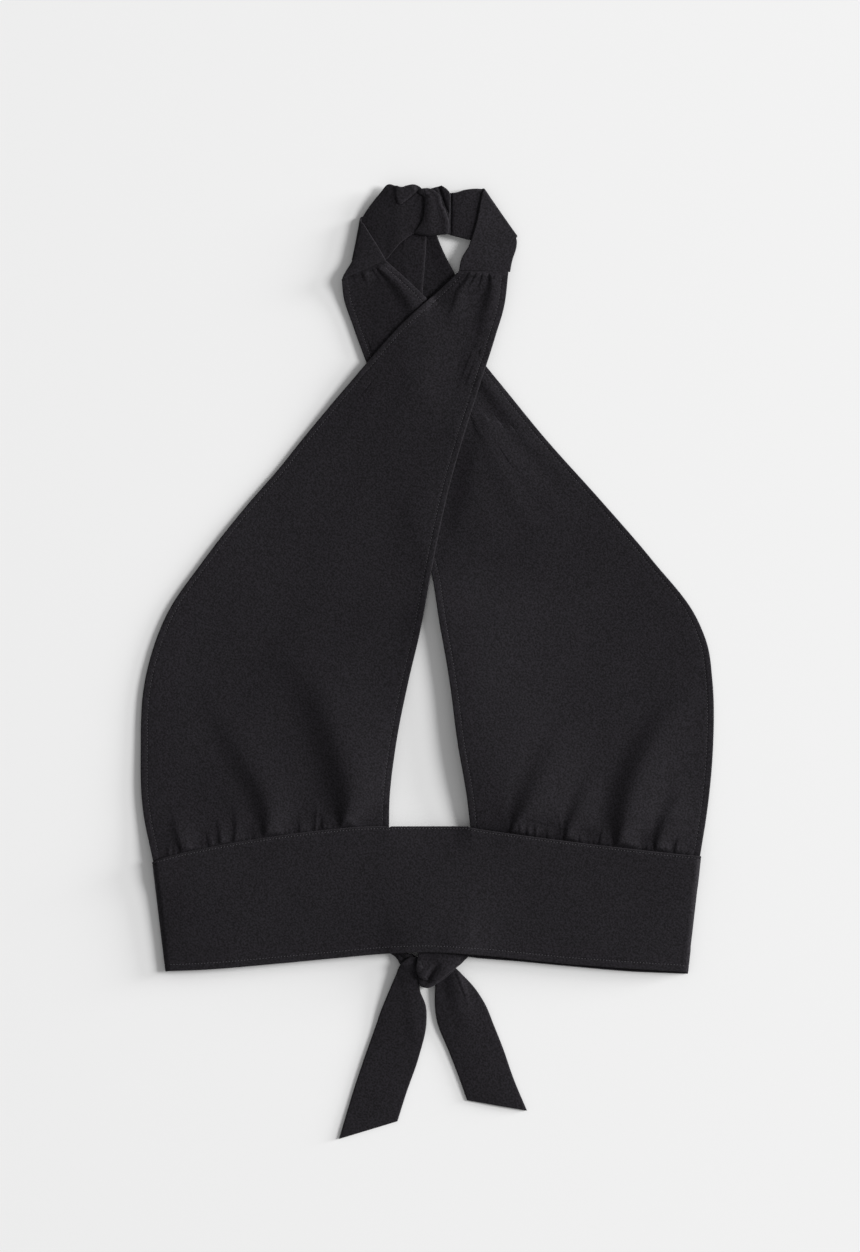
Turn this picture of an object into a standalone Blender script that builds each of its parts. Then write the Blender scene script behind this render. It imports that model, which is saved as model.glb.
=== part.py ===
"""Halter neck crop top, laid flat with its front up.

Metres, +Z up, +Y towards the neck. The origin is under the middle of the garment, on the surface it lies on.
Two gathered front panels cross at the neck and are sewn to a deep front band. The band goes on round the
sides as two back bands, which are tied in a knot behind the hem. Each panel ends in a neck strap. The straps
fold over at the sides of the neck and are tied in a second knot, whose tails lie under the panels.
Left and right are as seen from above.
"""

import math
from collections import namedtuple

import bmesh
import bpy
import numpy as np
from mathutils import Vector
from mathutils.bvhtree import BVHTree

MM = 0.001
SMOOTH_ANGLE = 60.0

# Every length below is in millimetres, up to the colour.

# Cloth
PANEL_WALL = 1.2
BAND_WALL = 1.8
TIE_WALL = 1.4
SEAM_GAP = 0.3
LAY_GAP = 0.4

# Heights that the panels are sewn at, and how much is left of a fold where the seam holds it
SEAM_HEIGHT = 5.6
NECK_SEAM_HEIGHT = 6.4
SEAM_FOLD_SHARE = 0.45

# Panels: their grids of points, whose rows stand closer together near the two seams
PANEL_ROWS = 27
PANEL_COLUMNS = 37
ROW_CROWDING = 0.09
BOW_POWER = 0.6

# How the panels drape: each round they sink by the sag, and in the end their weight presses them down
PANEL_ROUNDS = 400
PANEL_SAG = 0.08
WEIGHT_PRESS = 0.15

# Cloth that stands up beside a gathered seam: how high, how soon after the seam, and how far it goes on
Puff = namedtuple("Puff", "high rise reach")
BAND_PUFF = Puff(4.4, 7.0, 75.0)
NECK_PUFF = Puff(2.0, 5.0, 30.0)
PUFF_EDGE = 6.0

# The rolled outer edge, and the inner edge that lifts beside the keyhole
EDGE_ROLL = 2.2
EDGE_ROLL_IN = 8.0
EDGE_ROLL_WIDTH = 7.0
KEYHOLE_LIFT = 3.4
KEYHOLE_TOP = 60.0
KEYHOLE_EASE = 25.0
KEYHOLE_WIDTH = 15.0
SEAM_HOLD = 12.0

# Folds get wider as they run out
FOLD_SPREAD = 30.0
FOLD_FADE = 1.2

# Front band
BAND_ROWS = 8
KEYHOLE_COLUMNS = 4
BAND_ROUNDS = 200
BAND_SAG = 0.002
BAND_LOFT = 1.4
SIDE_ROLL = 7.0
SIDE_STEP = 1.2

# Ties, straps and knots
TIE_SECTIONS = 19
TIE_COLUMNS = 7
STRAP_COLUMNS = 9
STRAP_FRONT_ROWS = 9
STRAP_BACK_ROWS = 14
FOLD_RADIUS = 1.7
FOLD_TURNS = (45.0, 90.0, 135.0)
HALF_PLEATS = 3
WRAP_AROUND = 28
WRAP_ALONG = 5
WRAP_CROWN = 0.07
WELD = 0.01

# Panels: outer edge to inner edge, from the band's seam to the neck's seam. bow is how far a section curves
# towards the neck in its middle.
PanelSection = namedtuple("PanelSection", "outer_x outer_y inner_x inner_y bow")
OVER_PANEL = [
    PanelSection(-178.0, -129.5, -25.5, -107.0, 5.0),
    PanelSection(-184.3, -100.0, -25.0, -88.0, 3.0),
    PanelSection(-186.0, -57.0, -20.5, -50.5, 0.0),
    PanelSection(-183.2, -11.5, -13.0, -12.0, 0.0),
    PanelSection(-171.0, 27.5, -5.5, 20.0, 0.0),
    PanelSection(-145.3, 66.3, 3.0, 62.0, 0.0),
    PanelSection(-114.0, 105.3, 11.5, 101.0, 0.0),
    PanelSection(-81.5, 144.3, 21.5, 139.0, 0.0),
    PanelSection(-48.5, 183.3, 33.4, 177.0, 0.0),
    PanelSection(-14.5, 221.5, 44.6, 212.0, 0.0),
    PanelSection(9.0, 242.5, 50.8, 234.5, 0.0),
    PanelSection(20.5, 253.5, 52.8, 252.5, 0.0),
]
UNDER_PANEL = [
    PanelSection(177.4, -125.5, 28.0, -107.0, -1.2),
    PanelSection(181.6, -100.0, 26.0, -89.0, 0.0),
    PanelSection(186.0, -53.0, 19.5, -50.5, 0.0),
    PanelSection(185.0, -11.0, 14.5, -12.0, 0.0),
    PanelSection(176.5, 26.5, 9.0, 21.0, 0.0),
    PanelSection(147.0, 65.5, 2.0, 62.0, 0.0),
    PanelSection(112.5, 105.5, -11.0, 104.5, 0.0),
    PanelSection(77.5, 144.5, -23.5, 145.0, 0.0),
    PanelSection(45.5, 183.5, -36.8, 187.0, 0.0),
    PanelSection(15.0, 220.0, -48.0, 218.0, 0.0),
    PanelSection(-11.5, 247.0, -54.3, 237.5, 0.0),
    PanelSection(-26.5, 260.5, -55.3, 247.5, 0.0),
]

# Folds and gathers in the panels. across is how far a fold's foot is along the seam, as a share of the way from
# outer to inner edge. run_x and run_y lead from there to where it fades out. wide is its half width.
Fold = namedtuple("Fold", "across run_x run_y wide deep")
OVER_FOLDS = [
    Fold(0.095, -4.0, 15.0, 2.6, 2.8),
    Fold(0.230, -0.5, 8.0, 2.4, 2.2),
    Fold(0.275, -1.5, 14.0, 2.5, 2.8),
    Fold(0.340, 0.5, 15.0, 2.5, 2.6),
    Fold(0.468, -34.0, 77.0, 4.6, 5.0),
    Fold(0.520, -1.0, 8.0, 2.4, 2.2),
    Fold(0.618, 0.0, 12.0, 2.5, 2.6),
    Fold(0.720, -1.0, 9.0, 2.5, 2.4),
    Fold(0.798, -41.5, 108.0, 5.6, 5.2),
]
UNDER_FOLDS = [
    Fold(0.048, 1.0, 7.0, 2.4, 2.0),
    Fold(0.110, 3.5, 10.0, 2.5, 2.6),
    Fold(0.189, 12.0, 37.0, 3.0, 3.8),
    Fold(0.254, 0.5, 7.0, 2.4, 2.0),
    Fold(0.316, 0.5, 8.0, 2.4, 2.2),
    Fold(0.364, 32.0, 97.0, 5.4, 5.2),
    Fold(0.430, 0.5, 8.0, 2.4, 2.2),
    Fold(0.583, 10.5, 27.0, 2.8, 3.4),
    Fold(0.720, 0.5, 7.0, 2.4, 2.0),
    Fold(0.762, 0.5, 7.0, 2.4, 2.0),
    Fold(0.816, 19.5, 54.0, 3.8, 4.4),
]
OVER_NECK_FOLDS = [
    Fold(0.170, -9.0, -16.5, 2.2, 1.9),
    Fold(0.330, -3.5, -7.0, 1.8, 1.5),
    Fold(0.475, -1.0, -6.0, 1.8, 1.4),
    Fold(0.616, -9.0, -31.0, 2.8, 2.4),
    Fold(0.740, 0.0, -6.0, 1.8, 1.3),
]
UNDER_NECK_FOLDS = [
    Fold(0.200, 19.5, -29.5, 2.8, 2.4),
    Fold(0.330, 4.0, -6.5, 1.8, 1.5),
    Fold(0.520, 2.0, -6.0, 1.8, 1.5),
]

# Front band: its hem from left to right. Its upper edge is the panels' seams, and straight between them.
HemPoint = namedtuple("HemPoint", "x y")
FRONT_HEM = [
    HemPoint(-169.3, -200.8),
    HemPoint(-145.0, -199.8),
    HemPoint(-98.0, -195.9),
    HemPoint(-63.0, -192.6),
    HemPoint(-22.0, -189.0),
    HemPoint(0.0, -188.3),
    HemPoint(34.5, -190.3),
    HemPoint(86.5, -195.5),
    HemPoint(145.0, -199.8),
    HemPoint(169.3, -201.3),
]

# Ties and bands: two edges, a and b, section by section. bunch is the height of the pleats across it.
TieSection = namedtuple("TieSection", "ax ay az bx by bz bunch")
BACK_BAND_LEFT = [
    TieSection(-177.0, -133.0, 0.9, -169.3, -200.0, 0.9, 0.0),
    TieSection(-140.0, -137.0, 0.9, -130.0, -197.3, 0.9, 0.0),
    TieSection(-90.0, -149.0, 0.9, -85.0, -193.0, 0.9, 0.0),
    TieSection(-50.0, -161.0, 0.9, -46.0, -189.3, 0.9, 0.0),
    TieSection(-31.0, -169.5, 1.3, -26.5, -188.3, 1.3, 0.2),
    TieSection(-23.5, -179.0, 2.6, -19.0, -193.0, 2.4, 0.6),
    TieSection(-17.5, -187.5, 4.2, -14.5, -199.0, 3.6, 0.7),
    TieSection(-8.8, -189.8, 4.5, -2.8, -201.0, 4.0, 0.2),
]
BACK_BAND_RIGHT = [
    TieSection(177.0, -128.0, 0.9, 169.6, -202.6, 0.9, 0.0),
    TieSection(140.0, -134.5, 0.9, 132.0, -201.0, 0.9, 0.0),
    TieSection(95.0, -148.0, 0.9, 90.0, -197.4, 0.9, 0.0),
    TieSection(60.0, -160.0, 0.9, 57.0, -194.3, 0.9, 0.0),
    TieSection(38.0, -168.0, 1.6, 33.5, -192.4, 1.4, 0.4),
    TieSection(25.5, -173.5, 3.6, 25.5, -191.3, 3.1, 0.7),
    TieSection(11.0, -180.5, 5.5, 17.0, -191.0, 5.5, 0.5),
]
BACK_TAIL_LEFT = [
    TieSection(-4.6, -192.5, 6.4, -3.6, -199.3, 6.4, 0.1),
    TieSection(-12.0, -191.5, 6.4, -7.2, -199.6, 6.4, 0.3),
    TieSection(-17.6, -197.0, 7.0, -7.6, -201.5, 7.0, 0.5),
    TieSection(-20.3, -204.5, 4.6, -6.2, -207.0, 4.8, 0.6),
    TieSection(-24.0, -213.5, 2.4, -5.2, -214.0, 2.6, 0.6),
    TieSection(-28.8, -223.8, 1.2, -2.4, -222.5, 1.2, 0.3),
    TieSection(-32.6, -233.5, 0.7, -1.0, -232.0, 0.7, 0.0),
    TieSection(-41.0, -258.7, 0.7, -6.3, -257.0, 0.7, 0.0),
    TieSection(-48.3, -280.0, 0.7, -14.0, -279.5, 0.7, 0.0),
    TieSection(-56.6, -310.0, 0.7, -20.5, -298.5, 0.7, 0.0),
]
BACK_TAIL_RIGHT = [
    TieSection(6.6, -205.8, 1.6, 17.0, -198.0, 1.6, 0.5),
    TieSection(6.9, -209.6, 2.0, 20.0, -201.6, 2.0, 0.8),
    TieSection(6.6, -216.0, 1.9, 26.6, -209.8, 1.9, 0.8),
    TieSection(6.8, -225.0, 1.3, 33.5, -220.0, 1.3, 0.4),
    TieSection(8.6, -234.6, 0.7, 41.6, -232.5, 0.7, 0.0),
    TieSection(15.6, -252.2, 0.7, 50.0, -252.0, 0.7, 0.0),
    TieSection(22.0, -268.0, 0.7, 57.3, -274.5, 0.7, 0.0),
    TieSection(28.3, -283.1, 0.7, 64.4, -291.3, 0.7, 0.0),
]
NECK_TAIL_RIGHT = [
    TieSection(-13.0, 283.0, 0.7, 3.5, 283.0, 0.7, 0.0),
    TieSection(-14.5, 275.0, 0.7, 5.6, 274.0, 0.7, 0.0),
    TieSection(-15.5, 262.0, 0.7, 11.2, 262.3, 0.7, 0.0),
    TieSection(-13.0, 247.0, 0.7, 18.6, 248.0, 0.7, 0.0),
    TieSection(-10.0, 228.0, 0.7, 23.0, 231.0, 0.7, 0.0),
    TieSection(-8.5, 205.0, 0.7, 25.0, 207.0, 0.7, 0.0),
    TieSection(-8.0, 165.0, 0.7, 25.0, 151.0, 0.7, 0.0),
]
NECK_TAIL_LEFT = [
    TieSection(-16.5, 283.0, 0.7, -1.2, 283.0, 0.7, 0.0),
    TieSection(-21.5, 273.5, 0.7, -0.7, 273.5, 0.7, 0.0),
    TieSection(-28.0, 259.0, 0.7, -0.7, 258.0, 0.7, 0.0),
    TieSection(-33.0, 240.0, 0.7, -1.6, 240.0, 0.7, 0.0),
    TieSection(-35.0, 215.0, 0.7, -3.0, 215.0, 0.7, 0.0),
    TieSection(-36.0, 176.0, 0.7, -4.0, 187.0, 0.7, 0.0),
]
# Neck straps, from the panel's seam to the fold at the side of the neck, and from the fold to the knot.
STRAP_LEFT_FRONT = [
    TieSection(-55.3, 248.1, 5.9, -26.8, 261.1, 5.9, 0.0),
    TieSection(-54.0, 251.5, 5.8, -31.0, 268.5, 5.6, 0.0),
    TieSection(-50.6, 256.0, 5.2, -37.0, 278.0, 4.9, 0.0),
    TieSection(-47.0, 261.0, 4.7, -42.2, 286.3, 4.4, 0.0),
]
STRAP_LEFT_BACK = [
    TieSection(-47.0, 261.0, 1.0, -42.2, 286.3, 1.0, 0.0),
    TieSection(-37.5, 262.5, 1.0, -35.8, 297.6, 1.0, 0.0),
    TieSection(-26.0, 266.5, 3.0, -27.2, 307.6, 1.8, 0.2),
    TieSection(-17.0, 273.5, 5.4, -18.0, 308.8, 4.6, 0.9),
    TieSection(-9.5, 282.5, 7.4, -9.0, 305.6, 7.2, 1.0),
    TieSection(-3.5, 283.5, 7.6, -3.0, 301.5, 7.6, 1.0),
]
STRAP_RIGHT_FRONT = [
    TieSection(20.3, 254.1, 5.9, 53.0, 253.1, 5.9, 0.0),
    TieSection(22.8, 263.0, 5.8, 54.5, 260.5, 5.7, 0.0),
    TieSection(27.4, 273.5, 5.4, 56.7, 267.5, 5.3, 0.0),
    TieSection(31.2, 290.0, 4.9, 57.4, 271.8, 4.8, 0.0),
    TieSection(34.1, 305.3, 4.5, 56.3, 275.4, 4.5, 0.0),
]
STRAP_RIGHT_BACK = [
    TieSection(34.1, 305.3, 1.1, 56.3, 275.4, 1.1, 0.0),
    TieSection(29.5, 305.6, 1.1, 42.5, 272.0, 1.1, 0.0),
    TieSection(22.5, 304.8, 2.6, 29.0, 273.8, 2.2, 0.2),
    TieSection(16.5, 304.0, 6.0, 17.5, 278.3, 5.6, 0.8),
    TieSection(12.0, 302.5, 7.6, 12.0, 283.2, 7.5, 0.7),
    TieSection(5.5, 301.5, 7.6, 5.5, 283.0, 7.6, 0.8),
]

# Knots: a wrap of the tie round the bundle. Each row is one place round it, by angle from its upper edge over
# the top: where its two mouths are along its axis, and how much it bulges.
WrapPlace = namedtuple("WrapPlace", "angle left_mouth right_mouth bulge")
NECK_WRAP = [
    WrapPlace(0.0, -6.5, 4.5, 1.00),
    WrapPlace(45.0, -6.6, 6.5, 1.02),
    WrapPlace(90.0, -6.6, 10.3, 1.05),
    WrapPlace(127.0, -9.9, 10.3, 1.04),
    WrapPlace(152.0, -13.0, 10.3, 1.00),
    WrapPlace(190.0, -10.0, 9.5, 0.98),
    WrapPlace(250.0, -8.0, 8.5, 0.96),
    WrapPlace(310.0, -6.5, 6.0, 0.98),
    WrapPlace(360.0, -6.5, 4.5, 1.00),
]
BACK_WRAP = [
    WrapPlace(0.0, -2.5, 12.0, 1.00),
    WrapPlace(55.0, -3.0, 14.0, 1.03),
    WrapPlace(80.0, -8.5, 15.0, 1.05),
    WrapPlace(108.0, -11.9, 15.0, 1.05),
    WrapPlace(130.0, -14.0, 15.0, 1.02),
    WrapPlace(155.0, -12.0, 15.0, 1.00),
    WrapPlace(180.0, -9.0, 14.0, 1.00),
    WrapPlace(240.0, -7.0, 12.0, 0.96),
    WrapPlace(300.0, -4.0, 11.0, 0.96),
    WrapPlace(360.0, -2.5, 12.0, 1.00),
]
Wrap = namedtuple("Wrap", "x y z half_height half_thickness turn")
NECK_WRAP_PLACE = Wrap(4.0, 292.5, 7.6, 16.2, 5.0, 0.0)
BACK_WRAP_PLACE = Wrap(2.0, -193.5, 5.7, 15.5, 4.5, 38.0)

CREPE_BLACK = (0.018, 0.017, 0.020, 1.0)
PANEL_ROUGHNESS = 0.86
BAND_ROUGHNESS = 0.84

pile = []


def clear_scene():
    for thing in list(bpy.data.objects):
        bpy.data.objects.remove(thing)


def crepe(name, roughness):
    """Matt black crepe."""
    material = bpy.data.materials.new(name)
    material.use_nodes = True
    shader = material.node_tree.nodes["Principled BSDF"]
    shader.inputs["Base Color"].default_value = CREPE_BLACK
    shader.inputs["Roughness"].default_value = roughness
    shader.inputs["Metallic"].default_value = 0.0
    return material


def smooth(rows, knots, where):
    """Rows of numbers read off smooth curves through the given rows, which stand at the knots."""
    rows = np.array(rows, float)
    slopes = np.gradient(rows, knots, axis=0)
    before = np.clip(np.searchsorted(knots, where, side="right") - 1, 0, len(knots) - 2)
    span = (knots[before + 1] - knots[before])[:, None]
    s = (where - knots[before])[:, None] / span
    return (
        (2 * s**3 - 3 * s**2 + 1) * rows[before]
        + (s**3 - 2 * s**2 + s) * span * slopes[before]
        + (3 * s**2 - 2 * s**3) * rows[before + 1]
        + (s**3 - s**2) * span * slopes[before + 1]
    )


def knots_of(middles):
    """How far along a run of points each one is."""
    steps = np.linalg.norm(np.diff(np.array(middles, float), axis=0), axis=1)
    return np.concatenate([[0.0], np.cumsum(steps)])


def between(a, b, shares):
    """Points on the straight lines from each row of a to the same row of b, as rows by columns by coordinates."""
    return a[:, None, :] + (b - a)[:, None, :] * shares[None, :, None]


def wall(name, points, thickness, offset, material):
    """A wall of cloth on a grid of points: rows by columns by coordinates, in millimetres."""
    rows, columns = points.shape[:2]
    sheet = bmesh.new()
    bmesh.ops.create_grid(sheet, x_segments=columns - 1, y_segments=rows - 1, size=1.0)
    for corner, place in zip(sheet.verts, points.reshape(-1, 3)):
        corner.co = Vector(place) * MM
    return solid_of(name, sheet, thickness, offset, material)


def solid_of(name, sheet, thickness, offset, material):
    """The open sheet made an object, given its thickness by Solidify."""
    bmesh.ops.recalc_face_normals(sheet, faces=sheet.faces)
    mesh = bpy.data.meshes.new(name)
    sheet.to_mesh(mesh)
    sheet.free()
    mesh.materials.append(material)
    mesh.shade_smooth()
    piece = bpy.data.objects.new(name, mesh)
    parts.objects.link(piece)
    cloth = piece.modifiers.new("Cloth", "SOLIDIFY")
    cloth.thickness = thickness * MM
    cloth.offset = offset
    mesh.set_sharp_from_angle(angle=math.radians(SMOOTH_ANGLE))
    return piece


def face_up(piece):
    """Turns a laid sheet's faces up, so that its wall lies under its points."""
    mesh = piece.data
    if sum(face.normal.z * face.area for face in mesh.polygons) < 0:
        mesh.flip_normals()


def add_to_pile(piece):
    """What is laid later rests on this piece."""
    bpy.context.view_layer.update()
    pile.append(BVHTree.FromObject(piece, bpy.context.evaluated_depsgraph_get()))


def pile_height(x, y):
    """Highest point laid so far at a place, or 0 for the surface that everything lies on."""
    above = Vector((x, y, 1000.0)) * MM
    hits = [tree.ray_cast(above, Vector((0.0, 0.0, -1.0)))[0] for tree in pile]
    return max([0.0] + [hit.z / MM for hit in hits if hit is not None])


def finer(values, times):
    """A grid with more rows, read off straight lines between the given ones."""
    rows = np.linspace(0, len(values) - 1, (len(values) - 1) * times + 1)
    below = np.minimum(rows.astype(int), len(values) - 2)
    share = (rows - below).reshape(-1, 1, 1)
    return values[below] * (1 - share) + values[below + 1] * share


def ground_under(points):
    """For each point of a cloth, the lowest underside that clears the pile out to the points next to it."""
    times = 3
    close = finer(finer(points[:, :, :2], times).transpose(1, 0, 2), times).transpose(1, 0, 2)
    heights = np.array([[pile_height(x, y) for x, y in row] for row in close])
    heights = np.where(heights > 0, heights + LAY_GAP, 0.0)
    edged = np.pad(heights, times, mode="edge")
    rows, columns = heights.shape
    shifts = range(2 * times + 1)
    nearby = [edged[down : down + rows, right : right + columns] for down in shifts for right in shifts]
    return np.max(nearby, axis=0)[::times, ::times]


def settle(heights, ground, pinned, rounds, sag):
    """Cloth pulled smooth between its pinned points, sinking a little each round until it meets the ground."""
    settled = np.maximum(heights, ground)
    for _ in range(rounds):
        edged = np.pad(settled, 1, mode="edge")
        mean = (edged[:-2, 1:-1] + edged[2:, 1:-1] + edged[1:-1, :-2] + edged[1:-1, 2:]) / 4
        settled = np.maximum(mean - sag, ground)
        settled[pinned] = heights[pinned]
    return settled


def fold_depth(points, feet, folds):
    """How far the folds push each point down."""
    shares = np.linspace(0.0, 1.0, len(feet))
    depth = np.zeros(points.shape[:2])
    for fold in folds:
        foot = np.array([np.interp(fold.across, shares, feet[:, axis]) for axis in (0, 1)])
        run = np.array([fold.run_x, fold.run_y])
        length = np.linalg.norm(run)
        away = points[:, :, :2] - foot
        along = np.clip((away @ run) / length**2, 0.0, 1.0)
        aside = np.linalg.norm(away - along[:, :, None] * run, axis=2)
        width = fold.wide * (1.0 + along * length / FOLD_SPREAD)
        trough = fold.deep * (1 - along) ** FOLD_FADE * np.exp(-((aside / width) ** 2))
        depth = np.maximum(depth, trough)
    return depth


def panel_points(sections):
    """The panel seen from above, as a grid from the band's seam to the neck's seam and outer to inner edge."""
    table = np.array(sections, float)
    knots = knots_of((table[:, 0:2] + table[:, 2:4]) / 2)
    even = np.linspace(0.0, 1.0, PANEL_ROWS)
    read = smooth(table, knots, knots[-1] * (even - ROW_CROWDING * np.sin(2 * math.pi * even)))
    outer, inner, bow = read[:, 0:2], read[:, 2:4], read[:, 4]
    shares = np.linspace(0.0, 1.0, PANEL_COLUMNS)
    flat = between(outer, inner, shares)
    across = inner - outer
    towards_neck = np.stack([-across[:, 1], across[:, 0]], axis=1)
    towards_neck *= (np.sign(across[:, 0]) / np.linalg.norm(across, axis=1))[:, None]
    arch = (4 * shares * (1 - shares)) ** BOW_POWER
    flat += towards_neck[:, None, :] * (bow[:, None] * arch[None, :])[:, :, None]
    return np.concatenate([flat, np.zeros((*flat.shape[:2], 1))], axis=2)


def puffed(puff, from_seam):
    """How high the cloth stands beside a gathered seam."""
    return puff.high * (1 - np.exp(-from_seam / puff.rise)) * np.exp(-((from_seam / puff.reach) ** 2))


def make_panel(name, sections, folds, neck_folds, material):
    """A front panel: pinned at the height of its two seams, draped on the pile, puffed out over its gathers."""
    points = panel_points(sections)
    ground = ground_under(points) + PANEL_WALL
    pinned = np.zeros(ground.shape, bool)
    pinned[[0, -1], :] = True
    start = ground.copy()
    start[0, :] = SEAM_HEIGHT
    start[-1, :] = NECK_SEAM_HEIGHT
    heights = settle(start, ground, pinned, PANEL_ROUNDS, PANEL_SAG)
    from_band = np.linalg.norm(points - points[0], axis=2)
    from_neck = np.linalg.norm(points - points[-1], axis=2)
    from_outer = np.linalg.norm(points - points[:, :1], axis=2)
    from_inner = np.linalg.norm(points - points[:, -1:], axis=2)
    puff = puffed(BAND_PUFF, from_band) + puffed(NECK_PUFF, from_neck)
    heights += puff * (1 - np.exp(-np.minimum(from_outer, from_inner) / PUFF_EDGE))
    free = 1 - np.exp(-np.minimum(from_band, from_neck) / SEAM_HOLD)
    roll = EDGE_ROLL * np.exp(-(((from_outer - EDGE_ROLL_IN) / EDGE_ROLL_WIDTH) ** 2))
    roll[:, 0] = 0.0
    keyhole = np.clip((KEYHOLE_TOP - points[:, -1:, 1]) / KEYHOLE_EASE, 0.0, 1.0)
    lift = KEYHOLE_LIFT * keyhole * np.exp(-((from_inner / KEYHOLE_WIDTH) ** 2))
    heights += free * (roll + lift)
    depth = fold_depth(points, points[0], folds) + fold_depth(points, points[-1], neck_folds)
    depth[[0, -1], :] *= SEAM_FOLD_SHARE
    points[:, :, 2] = np.maximum(heights - depth - WEIGHT_PRESS, ground)
    piece = wall(name, points, PANEL_WALL, -1.0, material)
    face_up(piece)
    add_to_pile(piece)
    return points


def make_front_band(over_seam, under_seam, material):
    """The front band: its upper edge follows the panels' seams and crosses the keyhole between them."""
    keyhole = np.linspace(over_seam[-1], under_seam[-1], KEYHOLE_COLUMNS + 2)[1:-1]
    seam = np.concatenate([over_seam, keyhole, under_seam[::-1]])
    seam[:, 1] -= SEAM_GAP
    seam[0, 0] += SIDE_STEP
    seam[-1, 0] -= SIDE_STEP
    seam_at = knots_of(seam[:, :2])
    hem_at = knots_of(FRONT_HEM)
    lower = smooth(FRONT_HEM, hem_at, seam_at / seam_at[-1] * hem_at[-1])
    down = np.linspace(0.0, 1.0, BAND_ROWS)
    flat = between(seam[:, :2], lower, down).transpose(1, 0, 2)
    points = np.concatenate([flat, np.zeros((*flat.shape[:2], 1))], axis=2)
    ground = ground_under(points) + BAND_WALL
    unpinned = np.zeros(ground.shape, bool)
    heights = settle(ground + BAND_LOFT, ground, unpinned, BAND_ROUNDS, BAND_SAG)
    heights[0] = np.maximum(heights[0], seam[:, 2])
    from_side = np.minimum(points[:, :, 0] - points[:, :1, 0], points[:, -1:, 0] - points[:, :, 0])
    side = np.clip(from_side / SIDE_ROLL, 0.0, 1.0)
    rolled = ground[:, :1] + (heights - ground[:, :1]) * np.sqrt(1 - (1 - side) ** 2)
    points[:, :, 2] = np.where(side < 1, np.maximum(rolled, ground), heights)
    piece = wall("front_band", points, BAND_WALL, -1.0, material)
    face_up(piece)
    add_to_pile(piece)


def tie_points(sections, count, columns):
    """A tie as a grid: the lines between its two edges, pleated where it is bunched."""
    table = np.array(sections, float)
    knots = knots_of((table[:, 0:3] + table[:, 3:6]) / 2)
    read = smooth(table, knots, knots[-1] * np.linspace(0.0, 1.0, count))
    shares = np.linspace(0.0, 1.0, columns)
    points = between(read[:, 0:3], read[:, 3:6], shares)
    pleats = np.cos(HALF_PLEATS * math.pi * shares)
    points[:, :, 2] += np.clip(read[:, 6], 0.0, None)[:, None] * pleats[None, :]
    return points


def laid(points, thickness):
    """The same points, lifted wherever the pile would come through the cloth."""
    lifted = points.copy()
    lifted[:, :, 2] = np.maximum(points[:, :, 2], ground_under(points) + thickness / 2)
    return lifted


def folded_strap(front, back, fold_side):
    """A strap's front part, its half turn round the fold and its back part, as one grid."""
    upper = tie_points(front, STRAP_FRONT_ROWS, STRAP_COLUMNS)
    lower = laid(tie_points(back, STRAP_BACK_ROWS, STRAP_COLUMNS), TIE_WALL)
    edge = upper[-1, -1, :2] - upper[-1, 0, :2]
    out = np.array([edge[1], -edge[0]]) / np.linalg.norm(edge) * fold_side
    turn = []
    for angle in np.radians(FOLD_TURNS):
        share = (1 - math.cos(angle)) / 2
        line = upper[-1] * (1 - share) + lower[0] * share
        line[:, :2] += out * FOLD_RADIUS * math.sin(angle)
        turn.append(line)
    return np.concatenate([upper, np.array(turn), lower])


def make_wrap(name, wrap, places, material):
    """A knot's wrap: a flattened ring of cloth, open at both mouths."""
    table = np.array(places, float)
    angles = np.linspace(0.0, 360.0, WRAP_AROUND + 1)
    read = smooth(table, table[:, 0], angles)
    turn = math.radians(wrap.turn)
    sheet = bmesh.new()
    bmesh.ops.create_grid(sheet, x_segments=WRAP_ALONG - 1, y_segments=WRAP_AROUND, size=1.0)
    corners = iter(sheet.verts)
    for angle, left, right, bulge in read:
        for share in np.linspace(0.0, 1.0, WRAP_ALONG):
            crown = bulge * (1 - WRAP_CROWN + WRAP_CROWN * math.sin(math.pi * share))
            axial = left + (right - left) * share
            side = wrap.half_height * crown * math.cos(math.radians(angle))
            height = wrap.half_thickness * crown * math.sin(math.radians(angle))
            next(corners).co = Vector((
                wrap.x + axial * math.cos(turn) - side * math.sin(turn),
                wrap.y + axial * math.sin(turn) + side * math.cos(turn),
                wrap.z + height,
            )) * MM
    bmesh.ops.remove_doubles(sheet, verts=sheet.verts, dist=WELD * MM)
    piece = solid_of(name, sheet, TIE_WALL, -1.0, material)
    add_to_pile(piece)


def make_tie(name, sections, thickness, material):
    points = laid(tie_points(sections, TIE_SECTIONS, TIE_COLUMNS), thickness)
    add_to_pile(wall(name, points, thickness, 0.0, material))


clear_scene()
parts = bpy.data.collections.new("halter_top")
bpy.context.scene.collection.children.link(parts)

panel_crepe = crepe("panel_crepe", PANEL_ROUGHNESS)
band_crepe = crepe("band_crepe", BAND_ROUGHNESS)
tie_crepe = crepe("tie_crepe", BAND_ROUGHNESS)

make_tie("back_band_left", BACK_BAND_LEFT, BAND_WALL, band_crepe)
make_tie("back_band_right", BACK_BAND_RIGHT, BAND_WALL, band_crepe)
make_tie("back_tail_left", BACK_TAIL_LEFT, TIE_WALL, tie_crepe)
make_tie("back_tail_right", BACK_TAIL_RIGHT, TIE_WALL, tie_crepe)
make_wrap("back_knot", BACK_WRAP_PLACE, BACK_WRAP, tie_crepe)

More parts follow.
